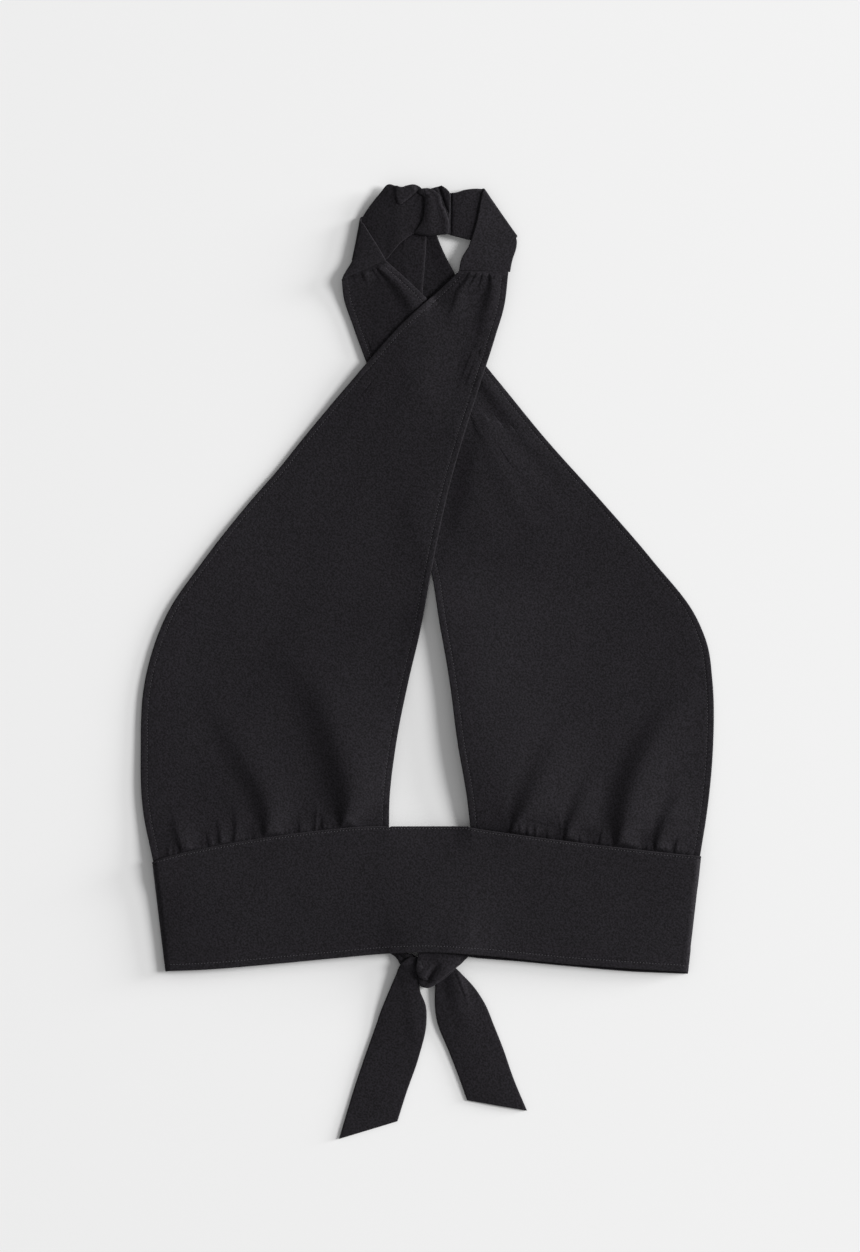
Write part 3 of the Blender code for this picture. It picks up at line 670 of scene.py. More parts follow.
def wrapGrid(cut):
    table = np.array(cut["places"], float)
    angles = np.linspace(0.0, 360.0, cut["around"] + 1)[:-1]
    read = smoothRows(table, table[:, 0], angles)
    turn = math.radians(cut["turn"])
    rows = []
    for angle, left, right, bulge in read:
        width = right - left
        shares = edgeShares([width], cut["mouthSteps"], cut["along"])[0]
        fromMouth = np.minimum(shares, 1 - shares) * width
        crown = bulge * (1 - cut["waist"] + cut["waist"] * np.sin(math.pi * shares))
        lip = cut["lip"] * fading(fromMouth, cut["lipWide"])
        pleatTurn = shares * cut["pleats"] + angle / 360.0 * cut["skew"]
        pleats = cut["pleatHeight"] * np.sin(2 * math.pi * pleatTurn)
        c, s = math.cos(math.radians(angle)), math.sin(math.radians(angle))
        c = math.copysign(abs(c) ** cut["square"], c)
        s = math.copysign(abs(s) ** cut["square"], s)
        inwards = lip - pleats * np.clip(fromMouth / cut["pleatStart"], 0.0, 1.0)
        side = (cut["halfHeight"] * crown - inwards) * c
        height = (cut["halfThickness"] * crown - inwards) * s
        axial = left + width * shares
        rows.append(np.stack([
            cut["centre"][0] + axial * math.cos(turn) - side * math.sin(turn),
            cut["centre"][1] + axial * math.sin(turn) + side * math.cos(turn),
            cut["centre"][2] + height,
        ], axis=1))
    mid = np.array(rows)
    facing = np.clip(2.5 * np.sin(np.radians(angles)), 0.0, 1.0)  # folds only on the upper side
    mid[:, :, 2] += reliefOf(mid, cut) * facing[:, None]
    return mid


def plyGrid(cut):
    # a ply laid on the pile, with the loft that its sections give
    points, shares = tieGrid(cut["sections"], cut["rows"], cut["columns"])
    loft = points[:, :, 2] + cut["crown"] * arch(shares) + reliefOf(points, cut)
    bed = np.maximum(fineGround(points) + cut["wall"] / 2, cut.get("least", 0.0))
    laid = settle(bed, bed, np.zeros(bed.shape, bool), cut["rounds"], cut["sag"])
    points[:, :, 2] = laid + loft
    return points


def makeKnot(name, cut):
    def layPlies(plies):
        return [clothShell(plyGrid({**cut, **ply}), {**cut, **ply}) for ply in plies]

    shells = layPlies(cut.get("inner", ()))
    mid = wrapGrid(cut)
    turned = bool(ringNormals(mid)[cut["around"] // 4, mid.shape[1] // 2, 2] < 0)
    shells.append(clothShell(mid, {**cut, "turned": turned}, closed=True))
    shells.extend(layPlies(cut.get("outer", ())))
    makePiece(name, shells, cut)


backKnot = {
    **tie, **knotShape, "node": "back_knot", "restsOn": ["backBandRight", "backTailRight"],
    "centre": (2.0, -193.5, 3.8), "halfHeight": 14.8, "halfThickness": 1.8, "square": 0.75, "turn": 38.0,
    "lip": 0.3, "pleats": 1.5, "pleatHeight": 0.2, "skew": 0.6,
    "flat": (0.040, 0.080), "area": 0.0021,
    "places": [  # angle round the knot, its two mouths along its axis, bulge
        (0.0, -2.5, 12.0, 1.00),
        (62.0, -3.0, 14.0, 1.02),
        (84.0, -9.5, 15.0, 1.03),
        (101.0, -13.0, 15.0, 1.03),
        (122.0, -15.2, 15.0, 1.02),
        (150.0, -13.6, 14.0, 1.00),
        (180.0, -10.4, 12.0, 0.99),
        (248.0, -7.0, 12.0, 0.96),
        (292.0, -4.0, 11.0, 0.96),
        (360.0, -2.5, 12.0, 1.00),
    ],
    "outer": [
        {   # the tie that comes over the bundle and tucks in, with a pocket where it turns
            "rows": 80, "columns": 70, "crown": 0.3, "rounds": 90,
            "sections": [  # left edge x y loft, right edge x y loft, bunch
                (-5.6, -186.6, -0.6, 31.0, -186.2, -0.9, 0.0),
                (-5.9, -189.6, 0.1, 28.2, -189.6, -0.3, 0.0),
                (-6.5, -193.2, 0.2, 24.6, -193.4, 0.0, 0.0),
                (-7.0, -196.8, 0.2, 20.8, -196.8, 0.3, 0.0),
                (-7.1, -199.8, 0.2, 16.8, -199.8, 0.5, 0.0),
                (-6.2, -202.4, 0.1, 12.6, -203.0, 0.5, 0.0),
                (-4.9, -204.3, -0.1, 9.0, -205.8, 0.4, 0.0),
                (-3.0, -205.8, -0.4, 5.4, -208.2, 0.1, 0.0),
            ],
            "folds": [
                {"path": [(0.8, -205.2), (4.4, -199.8), (8.6, -194.4)], "wide": 1.7, "foot": 1.9, "deep": 2.0,
                 "first": 1.0, "fade": 0.9, "lean": 0.0},
                {"path": [(3.0, -206.6), (7.4, -201.0), (11.6, -195.6)], "wide": 2.4, "foot": 2.4,
                 "deep": 0.9, "first": 1.0, "fade": 0.8, "falls": 6.0},
            ],
        },
    ],
}
makeKnot("backKnot", backKnot)
print("back knot tied")

neckTailRight = {
    **tie, "node": "neck_tail_right", "rows": 70, "columns": 30, "flat": (0.034, 0.140), "area": 0.0042,
    "crown": 0.1, "phase": 2.2,
    "sections": [
        (-13.0, 283.0, 0.7, 4.5, 283.0, 0.9, 0.0),
        (-14.5, 275.0, 0.7, 7.6, 274.0, 0.9, 0.0),
        (-15.5, 262.0, 0.7, 12.6, 262.6, 0.9, 0.0),
        (-13.0, 248.0, 0.7, 19.0, 250.0, 0.9, 0.0),
        (-10.0, 228.0, 0.7, 23.0, 231.0, 0.8, 0.0),
        (-8.5, 205.0, 0.7, 25.0, 207.0, 0.7, 0.0),
        (-8.0, 165.0, 0.7, 25.0, 151.0, 0.7, 0.0),
    ],
    "folds": [{"path": [(-1.5, 281.0), (2.0, 273.0), (6.6, 262.0), (12.0, 250.0), (16.0, 232.0)], "wide": 7.0,
               "foot": 7.0, "deep": 2.7, "first": 1.0, "falls": 30.0, "fade": 0.1}],
}
neckTailLeft = {
    **tie, "node": "neck_tail_left", "rows": 80, "columns": 36, "flat": (0.036, 0.112), "area": 0.0036,
    "crown": 0.4, "phase": 2.9, "restsOn": ["neckTailRight"],
    "sections": [
        (-20.5, 283.0, 0.9, -0.4, 283.0, 2.4, 0.0),
        (-27.5, 272.5, 0.9, -0.4, 273.5, 3.2, 0.0),
        (-31.5, 259.0, 0.9, -1.4, 258.0, 3.2, 0.0),
        (-34.0, 240.0, 0.8, -2.6, 243.0, 2.6, 0.0),
        (-35.0, 215.0, 0.7, -3.6, 215.0, 1.6, 0.0),
        (-36.0, 176.0, 0.7, -4.0, 187.0, 0.7, 0.0),
    ],
}
makeTie("neckTailRight", neckTailRight)
makeTie("neckTailLeft", neckTailLeft)
print("neck tails laid")


# neck straps: a front part, a half turn round the fold, and a back part

def makeStrap(name, cut):
    ends = len(tieEndSteps) - 1
    upper = tieGrid(cut["front"], cut["frontRows"], cut["columns"])[0][:-ends]  # no free end at the fold
    lower = tieGrid(cut["back"], cut["backRows"], cut["columns"])[0][ends:]
    lower[:, :, 2] += reliefOf(lower, cut)
    lower = liftClear(lower, cut["wall"])
    edge = upper[-1, -1, :2] - upper[-1, 0, :2]
    out = np.array([-edge[1], edge[0]]) / np.linalg.norm(edge)
    turn = []
    for angle in np.radians(np.linspace(0.0, 180.0, cut["foldRows"] + 2)[1:-1]):
        share = (1 - math.cos(angle)) / 2
        line = upper[-1] * (1 - share) + lower[0] * share
        line[:, :2] += out * cut["foldRadius"] * math.sin(angle)
        turn.append(line)
    shell = clothShell(np.concatenate([upper, np.array(turn), lower]), cut)
    makePiece(name, [shell], cut)


strap = {**tie, "wall": 1.1, "columns": 60, "foldRows": 11}
neckStrapLeft = {
    **strap, "node": "neck_strap_left", "restsOn": ["neckTailLeft"], "foldRadius": 1.7,
    "frontRows": 34, "backRows": 90, "flat": (0.038, 0.074), "area": 0.0023,
    "front": [  # outer edge x y z, inner edge x y z, bunch
        (-55.3, 248.1, 5.4, -26.8, 261.1, 5.7, 0.0),
        (-54.0, 251.5, 5.5, -31.0, 268.5, 5.8, 0.0),
        (-50.6, 256.0, 5.2, -37.0, 278.0, 5.4, 0.0),
        (-47.0, 261.0, 4.8, -42.2, 286.3, 4.9, 0.0),
    ],
    "back": [  # lower edge x y z, upper edge x y z, bunch
        (-46.5, 261.0, 2.2, -42.6, 288.0, 2.4, 0.0),
        (-38.0, 260.8, 3.2, -37.6, 295.6, 3.4, 0.0),
        (-31.0, 260.6, 4.0, -30.4, 304.6, 4.5, 0.0),
        (-25.7, 262.1, 4.3, -25.0, 310.2, 5.2, 0.0),
        (-22.4, 266.0, 4.9, -20.4, 309.2, 5.6, 0.0),
        (-18.8, 270.4, 5.2, -16.4, 308.4, 5.7, 0.0),
        (-14.6, 274.3, 5.2, -12.2, 309.6, 5.6, 0.0),
        (-10.2, 277.4, 5.1, -7.8, 310.0, 5.3, 0.0),
        (-6.0, 279.0, 4.9, -4.0, 308.0, 5.0, 0.0),
        (-2.0, 281.0, 4.7, -1.0, 304.5, 4.8, 0.0),
    ],
    "creases": [{"path": [(-20.6, 309.0), (-20.2, 302.0), (-18.6, 297.4), (-13.4, 300.4), (-5.6, 306.6)],
                 "high": 1.0, "sharp": 0.3, "falls": 9.0, "starts": 0.5, "fades": 2.0}],
    "folds": [
        {"path": [(-5.6, 306.6), (-13.4, 300.0), (-18.6, 297.0), (-20.4, 302.0)], "wide": 0.6, "foot": 0.6,
         "deep": 0.6, "first": 1.0, "fade": 0.1, "lean": 0.0},
        {"path": [(-9.0, 296.0), (-15.0, 287.0), (-24.0, 277.0)], "wide": 2.6, "foot": 1.6, "deep": 0.4,
         "first": 0.7, "falls": 12.0},
    ],
}
neckStrapRight = {
    **strap, "node": "neck_strap_right", "restsOn": ["neckTailRight"], "foldRadius": 1.5,
    "frontRows": 50, "backRows": 70, "flat": (0.036, 0.078), "area": 0.0026,
    "front": [  # inner edge x y z, outer edge x y z, bunch
        (20.6, 254.1, 6.0, 54.0, 253.2, 5.0, 0.0),
        (22.6, 262.5, 6.2, 55.4, 260.6, 3.6, 0.0),
        (27.0, 270.0, 6.1, 57.6, 267.4, 2.4, 0.0),
        (31.4, 283.0, 5.9, 58.4, 271.8, 2.2, 0.0),
        (36.3, 307.2, 5.0, 57.9, 275.9, 2.3, 0.0),
    ],
    "back": [
        (36.3, 307.2, 3.7, 57.9, 275.9, 0.9, 0.0),
        (31.2, 307.4, 4.4, 44.5, 271.8, 2.5, 0.0),
        (24.5, 306.6, 4.7, 32.0, 273.2, 4.4, 0.0),
        (18.5, 304.8, 4.6, 21.0, 275.6, 4.6, 0.0),
        (14.0, 304.4, 4.3, 14.0, 277.6, 4.3, 0.0),
        (7.0, 303.0, 4.1, 7.0, 280.5, 4.1, 0.0),
    ],
    "folds": [
        {"path": [(15.7, 305.0), (15.8, 292.0), (15.4, 276.0)], "wide": 0.55, "foot": 0.55, "deep": 0.9,
         "first": 1.0, "fade": 0.1, "lean": 0.0},
    ],
}
makeStrap("neckStrapLeft", neckStrapLeft)
makeStrap("neckStrapRight", neckStrapRight)

neckKnot = {
    **tie, **knotShape, "node": "neck_knot", "restsOn": ["neckStrapLeft", "neckStrapRight"],
    "centre": (4.0, 292.2, 4.8), "halfHeight": 14.8, "halfThickness": 2.1, "turn": 0.0, "lip": 0.35,
    "pleats": 1.4, "pleatHeight": 0.2, "skew": -0.5,
    "flat": (0.022, 0.074), "area": 0.0014,
    "places": [
        (0.0, -8.5, -0.5, 1.00),
        (32.0, -9.4, 2.6, 1.00),
        (48.0, -6.3, 4.6, 1.01),
        (67.0, -5.6, 5.5, 1.02),
        (83.0, -5.6, 6.6, 1.04),
        (92.0, -6.0, 8.8, 1.04),
        (101.0, -6.6, 9.9, 1.04),
        (123.0, -8.9, 10.6, 1.02),
        (153.0, -11.8, 10.3, 1.00),
        (180.0, -12.0, 10.0, 0.99),
        (248.0, -8.0, 8.5, 0.96),
        (302.0, -7.5, 2.0, 0.98),
        (360.0, -8.5, -0.5, 1.00),
    ],
    "folds": [
        {"path": [(0.0, 302.0), (3.0, 294.0), (4.0, 284.0)], "wide": 2.4, "foot": 1.6, "deep": 0.4,
         "first": 0.8},
    ],
    "inner": [
        {   # the end that shows beside the wrap at the top
            "rows": 60, "columns": 40, "crown": 0.3, "rounds": 30, "least": 5.4,
            "sections": [  # left edge x y loft, right edge x y loft, bunch
                (1.0, 307.0, -0.9, 9.4, 309.4, -0.6, 0.0),
                (2.4, 305.6, -1.2, 12.9, 307.0, 0.0, 0.0),
                (3.6, 302.2, -1.4, 15.0, 304.0, 0.2, 0.0),
                (5.0, 298.2, -1.4, 15.2, 299.4, 0.3, 0.0),
                (7.0, 294.2, -1.2, 15.1, 295.0, 0.3, 0.0),
                (9.0, 290.2, -1.0, 14.9, 290.6, 0.1, 0.0),
                (10.5, 286.2, -1.0, 14.5, 286.6, -0.5, 0.0),
            ],
            "folds": [{"path": [(7.6, 309.0), (9.8, 302.5), (11.8, 297.0), (14.2, 291.0)], "wide": 1.0,
                       "foot": 1.0, "deep": 1.6, "first": 1.0, "fade": 0.2, "lean": 0.0}],
        },
    ],
}
makeKnot("neckKnot", neckKnot)
print("neck straps folded and tied")


# front panels

panelShape = {
    "wall": 1.2, "round": 0.45, "seamHeight": 5.6, "neckSeamHeight": 6.4, "press": 0.15,
    "coarse": (27, 37), "crowding": 0.09, "coarseSettle": (400, 0.08),  # rows and columns; rounds and sag
    "seamSpacing": 0.8, "spacingReach": 60.0, "settle": (500, 0.003),
    "sink": (0.65, 0.60, 0.45, 0.20), "sinkAt": (-1.3, -1.2, -0.9, -0.5), "tuck": 0.45,  # under the seams
    "bandPuff": (3.2, 7.0, 75.0),  # high, rise, reach
    "neckPuff": (1.4, 5.0, 30.0),
    "puffEdge": 40.0, "puffShare": 0.4, "seamHold": 12.0,
    "loft": 0.3, "calmSeam": 20.0, "calmEdge": 9.0, "seamDip": 0.35, "seamDipWidth": 0.9,
    "seamRelief": (0.2, 0.8, 0.5),  # how high relief may be at a seam, its rise, and from where
    "keyholeTop": 60.0, "keyholeEase": 25.0, "keyholeWidth": 60.0,
    "standTop": 150.0, "standEase": 60.0, "standWidth": 30.0,  # where the outer edge stands off the ground
    "layWidth": 11.0, "layShare": 0.75, "layStep": 0.5,  # how edges lie down on the cloth below
    "edgeSteps": (0.0, 0.1, 0.32, 0.7, 1.4, 2.4, 3.3, 3.8, 4.1, 4.3, 4.5, 4.8, 5.4, 6.4),
    "stitchColumn": 9, "groove": 0.12, "grooveWidth": 0.45, "hemThick": 0.08,
    "hem": (3.9, 0.5, 0.7),  # where the turned-in edge ends, how it ends, and how it starts
    "pucker": 0.18, "puckerReach": 2.4, "puckerEase": 6.0,
    "puckerWaves": ((4.7, 1.6, 9.0, 1.0), (2.9, 2.0, 6.1, 0.6)),  # pitch, wander, its length, share
}
seamThread = {
    "pitch": 2.0, "length": 1.25, "wide": 0.36, "thick": 0.30, "lift": 0.08, "skew": 0.12, "start": 3.5,
}


def panelAt(sections, along, shares):
    table = np.array(sections, float)
    knots = distanceAlong((table[:, 0:2] + table[:, 2:4]) / 2)
    read = smoothRows(table, knots, along)
    outer, inner, bow = read[:, 0:2], read[:, 2:4], read[:, 4]
    flat = outer[:, None, :] + (inner - outer)[:, None, :] * shares[:, :, None]
    across = inner - outer
    towardsNeck = np.stack([-across[:, 1], across[:, 0]], axis=1)
    towardsNeck *= (np.sign(across[:, 0]) / np.linalg.norm(across, axis=1))[:, None]
    bowed = bow[:, None] * arch(shares, 0.6)
    flat += towardsNeck[:, None, :] * bowed[:, :, None]
    return np.concatenate([flat, np.zeros((*flat.shape[:2], 1))], axis=2)


def puffed(puff, fromSeam):
    high, rise, reach = puff
    return high * rising(fromSeam, rise) * fading(fromSeam, reach)


def puckers(points, fromSeam, cut):
    # small uneven puckers where the gathers are sewn in
    x, (first, last), ease = points[:, :, 0], cut["gathered"], panelShape["puckerEase"]
    inside = np.clip((x - first) / ease, 0.0, 1.0) * np.clip((last - x) / ease, 0.0, 1.0)
    waves = sum(share * np.sin(2 * math.pi * x / pitch + wander * np.sin(x / length))
                for pitch, wander, length, share in panelShape["puckerWaves"])
    return panelShape["pucker"] * inside * waves * np.exp(-fromSeam / panelShape["puckerReach"])


def makePanel(name, cut):
    shape = panelShape
    table = np.array(cut["sections"], float)
    knots = distanceAlong((table[:, 0:2] + table[:, 2:4]) / 2)
    length = knots[-1]
    # a coarse grid settles on the pile first
    rows, columns = shape["coarse"]
    even = np.linspace(0.0, 1.0, rows)
    coarseAlong = length * (even - shape["crowding"] * np.sin(2 * math.pi * even))
    coarse = panelAt(cut["sections"], coarseAlong, np.tile(np.linspace(0.0, 1.0, columns), (rows, 1)))
    ground = clearGround(coarse) + shape["wall"]
    pinned = np.zeros(ground.shape, bool)
    pinned[[0, -1], :] = True
    start = ground.copy()
    start[0, :] = shape["seamHeight"]
    start[-1, :] = shape["neckSeamHeight"]
    draped = settle(start, ground, pinned, *shape["coarseSettle"])
    # then a fine grid takes its drape, and runs in under the seams
    tucked, sink = np.array(shape["sinkAt"]), np.array(shape["sink"])[:, None]
    between = crowdedRows(length, shape["seamSpacing"], cut["rowSpacing"], shape["spacingReach"])
    along = np.concatenate([tucked, between, length - tucked[::-1]])
    seamRow = len(tucked)
    read = smoothRows(table, knots, along)
    widths = np.linalg.norm(read[:, 2:4] - read[:, 0:2], axis=1)
    shares = edgeShares(widths, shape["edgeSteps"], cut["columns"])
    points = panelAt(cut["sections"], along, shares)
    rowsAt = np.interp(along, coarseAlong, np.arange(rows))[:, None] + np.zeros(shares.shape)
    heights = readGrid(draped, rowsAt, shares * (columns - 1))
    bed = fineGround(points) + shape["wall"]
    sewn = np.zeros(bed.shape, bool)
    sewn[:seamRow + 1] = True
    sewn[-seamRow - 1:] = True
    heights = settle(heights, bed, sewn, *shape["settle"])
    fromBand = np.linalg.norm(points - points[seamRow], axis=2)
    fromNeck = np.linalg.norm(points - points[-1 - seamRow], axis=2)
    fromOuter = np.linalg.norm(points - points[:, :1], axis=2)
    fromInner = np.linalg.norm(points - points[:, -1:], axis=2)
    fromEdge = np.minimum(fromOuter, fromInner)
    fromSeam = np.minimum(fromBand, fromNeck)
    puff = puffed(shape["bandPuff"], fromBand) + puffed(shape["neckPuff"], fromNeck)
    share = shape["puffShare"]
    heights += puff * (share + (1 - share) * rising(fromEdge, shape["puffEdge"]))
    held = rising(fromSeam, shape["seamHold"])
    keyhole = np.clip((shape["keyholeTop"] - points[:, -1:, 1]) / shape["keyholeEase"], 0.0, 1.0)
    lift = cut["keyholeLift"] * keyhole * fading(fromInner, shape["keyholeWidth"])
    heights += held * (lift + shape["loft"])
    stand = np.clip((shape["standTop"] - points[:, :, 1]) / shape["standEase"], 0.0, 1.0)
    heights += held * cut["edgeStand"] * stand * fading(fromOuter, shape["standWidth"])
    over = np.clip((bed - shape["wall"] - shape["layStep"]) / shape["layStep"], 0.0, 1.0) * held
    heights -= (heights - bed) * shape["layShare"] * over * fading(fromEdge, shape["layWidth"])
    most, rise, onset = shape["seamRelief"]
    relief = foldRelief(points, cut["folds"]) + puckers(points, fromBand, cut)
    heights += np.minimum(relief, most + rise * np.clip(fromSeam - onset, 0.0, None))
    calm = rising(fromSeam, shape["calmSeam"]) * rising(fromEdge, shape["calmEdge"])
    heights += slack(points, cut) * calm
    heights -= shape["seamDip"] * fading(fromSeam, shape["seamDipWidth"])
    heights = np.maximum(heights - shape["press"], bed)
    bandMost, neckMost = shape["seamHeight"] - shape["tuck"], shape["neckSeamHeight"] - shape["tuck"]
    heights[:seamRow] = np.minimum(heights[seamRow] - sink, bandMost)
    heights[-seamRow:] = np.minimum(heights[-1 - seamRow] - sink[::-1], neckMost)
    points[:, :, 2] = heights - shape["wall"] / 2
    # the turned-in edge and the stitches' groove
    stitchColumn, (hemEnd, ending, starting) = shape["stitchColumn"], shape["hem"]
    groove = shape["groove"] * fading(fromEdge - shape["edgeSteps"][stitchColumn], shape["grooveWidth"])
    hem = np.clip((hemEnd - fromEdge) / ending, 0.0, 1.0) * np.clip(fromEdge / starting, 0.0, 1.0)
    relief = np.where(sewn, 0.0, shape["hemThick"] * hem - groove)
    shell = clothShell(points, {**cut, "wall": shape["wall"], "round": shape["round"], "relief": relief})
    threads = [sewRun(f"{name}{side}Stitches", shell, (slice(seamRow, -seamRow), column), seamThread)
               for side, column in (("Outer", stitchColumn), ("Inner", -1 - stitchColumn))]
    makePiece(name, [shell], cut)
    print(name, "draped and sewn")
    return coarse[0], points[seamRow]


def shortFolds(rows):
    # small puckers at a seam: start x y, end x y, wide, foot, deep, first
    return [{"path": [(x, y), (endX, endY)], "wide": wide, "foot": foot, "deep": deep, "first": first}
            for x, y, endX, endY, wide, foot, deep, first in rows]


panel = {
    "slot": "panel_crepe", "material": panelCrepe, "flat": (0.215, 0.430), "area": 0.0600,
    "rowSpacing": 4.4, "columns": 240, "slack": 0.3, "slackLength": 30.0,
}
panelUnder = {
    **panel, "node": "panel_under", "restsOn": ["neckTailLeft", "neckTailRight"], "phase": 0.7,
    "gathered": (52.0, 172.0), "keyholeLift": 6.8, "edgeStand": 0.0,
    "sections": [  # outer edge x y, inner edge x y, bow
        (177.4, -125.5, 28.0, -107.0, -1.2),
        (181.6, -100.0, 26.0, -89.0, 0.0),
        (186.0, -53.0, 19.5, -50.5, 0.0),
        (185.4, -11.0, 14.5, -12.0, 0.0),
        (182.0, 12.0, 11.0, 9.0, 0.0),
        (175.8, 27.5, 8.6, 22.0, 0.0),
        (147.0, 65.5, 2.0, 62.0, 0.0),
        (112.5, 105.5, -11.0, 104.5, 0.0),
        (77.5, 144.5, -23.5, 145.0, 0.0),
        (45.5, 183.5, -36.8, 187.0, 0.0),
        (15.0, 220.0, -48.0, 218.0, 0.0),
        (-11.5, 247.0, -54.3, 237.5, 0.0),
        (-26.5, 260.5, -55.3, 247.5, 0.0),
    ],
    "folds": [  # gathers at the band
        {"path": [(54.7, -107.8), (55.9, -100.6), (59.8, -90.1), (65.0, -77.7), (75.4, -55.6), (92.0, -32.0)],
         "wide": 6.2, "foot": 0.9, "deep": 4.5, "fade": 1.1},
        {"path": [(89.7, -113.5), (89.9, -106.3), (92.8, -98.7), (97.0, -87.5), (103.5, -72.0)],
         "wide": 4.0, "foot": 0.9, "deep": 3.3, "first": 0.6},
        {"path": [(122.9, -118.3), (121.7, -110.0), (120.9, -101.4), (122.4, -90.1), (129.1, -68.9),
                  (141.7, -44.2), (158.0, -22.0), (173.0, -7.0)],
         "wide": 7.0, "foot": 1.3, "deep": 7.4, "first": 0.38, "opens": 11.0, "falls": 24.0},
        {"path": [(148.0, -121.2), (148.2, -114.9), (150.6, -105.3), (155.5, -93.0), (163.5, -75.0)],
         "wide": 4.4, "foot": 0.9, "deep": 3.9, "first": 0.55},
        {"path": [(160.6, -122.1), (161.6, -116.9), (164.5, -109.0)], "wide": 1.5, "deep": 1.5, "first": 0.7},
        {"path": [(111.8, -116.9), (112.8, -111.2), (113.4, -106.0)], "wide": 1.0, "foot": 0.6, "deep": 1.3,
         "first": 0.8},
        *shortFolds([
            (59.8, -108.2, 59.5, -103.6, 0.8, 0.6, 1.0, 0.8),
            (64.9, -110.2, 64.3, -105.0, 0.9, 0.6, 1.2, 0.8),
            (70.0, -109.2, 69.6, -104.0, 0.8, 0.5, 0.9, 0.8),
            (77.6, -111.2, 77.2, -107.2, 0.8, 0.5, 0.6, 0.8),
            (99.0, -114.6, 98.6, -110.6, 0.8, 0.5, 0.6, 0.8),
            (129.1, -119.6, 128.7, -115.0, 0.9, 0.6, 1.1, 0.8),
            (132.5, -120.2, 131.7, -115.6, 0.8, 0.5, 0.8, 0.8),
            (142.5, -120.4, 142.0, -116.4, 0.8, 0.5, 0.8, 0.8),
            (154.6, -121.6, 154.6, -117.2, 0.8, 0.5, 0.8, 0.8),
            (168.4, -124.0, 171.6, -121.4, 0.9, 0.6, 0.8, 0.8),
        ]),
        {"path": [(134.0, -117.6), (134.2, -111.2)], "wide": 0.5, "foot": 0.4, "deep": 0.5, "first": 0.9,
         "falls": 1.4},
        {"path": [(87.0, -112.0), (84.6, -100.0), (78.0, -92.0)], "wide": 0.6, "foot": 0.4, "deep": 0.4,
         "first": 0.9, "falls": 1.6},
        # the slack that runs down from the crossing
        {"path": [(12.0, 76.0), (18.5, 104.0), (24.0, 126.0), (30.0, 146.0), (36.0, 160.0)],
         "wide": 5.6, "foot": 4.0, "deep": 2.6, "first": 0.1, "falls": 34.0, "fade": 0.2, "opens": 24.0},
        {"path": [(34.0, 146.0), (44.0, 118.0), (64.0, 84.0), (84.0, 62.0)], "wide": 6.5, "foot": 4.0,
         "deep": 1.5, "falls": 18.0},
        {"path": [(56.0, 126.0), (64.0, 114.0), (79.0, 96.0), (96.0, 78.0)], "wide": 4.6, "foot": 3.4,
         "deep": 0.8, "falls": 14.0},
        {"path": [(31.0, 184.0), (47.4, 160.0), (71.5, 131.3), (98.0, 102.0)], "wide": 4.4, "foot": 3.2,
         "deep": 2.0, "first": 0.9, "falls": 10.0},
        # gathers at the neck
        {"path": [(-32.5, 255.8), (-27.6, 249.9), (-20.8, 241.2), (-14.5, 231.0), (-11.0, 224.0)],
         "wide": 4.0, "foot": 0.8, "opens": 18.0, "deep": 4.0, "first": 0.5, "falls": 13.0, "fade": 0.3},
        {"path": [(-35.4, 254.8), (-31.5, 249.0), (-27.5, 243.0)], "wide": 0.9, "foot": 0.5, "deep": 0.8,
         "first": 0.9},
        {"path": [(-42.3, 252.3), (-41.3, 249.4), (-38.6, 244.6)], "wide": 1.2, "foot": 1.0, "deep": 1.6,
         "first": 0.9},
        *shortFolds([(-47.5, 250.0, -46.5, 245.5, 0.8, 0.5, 0.6, 0.8)]),
    ],
}
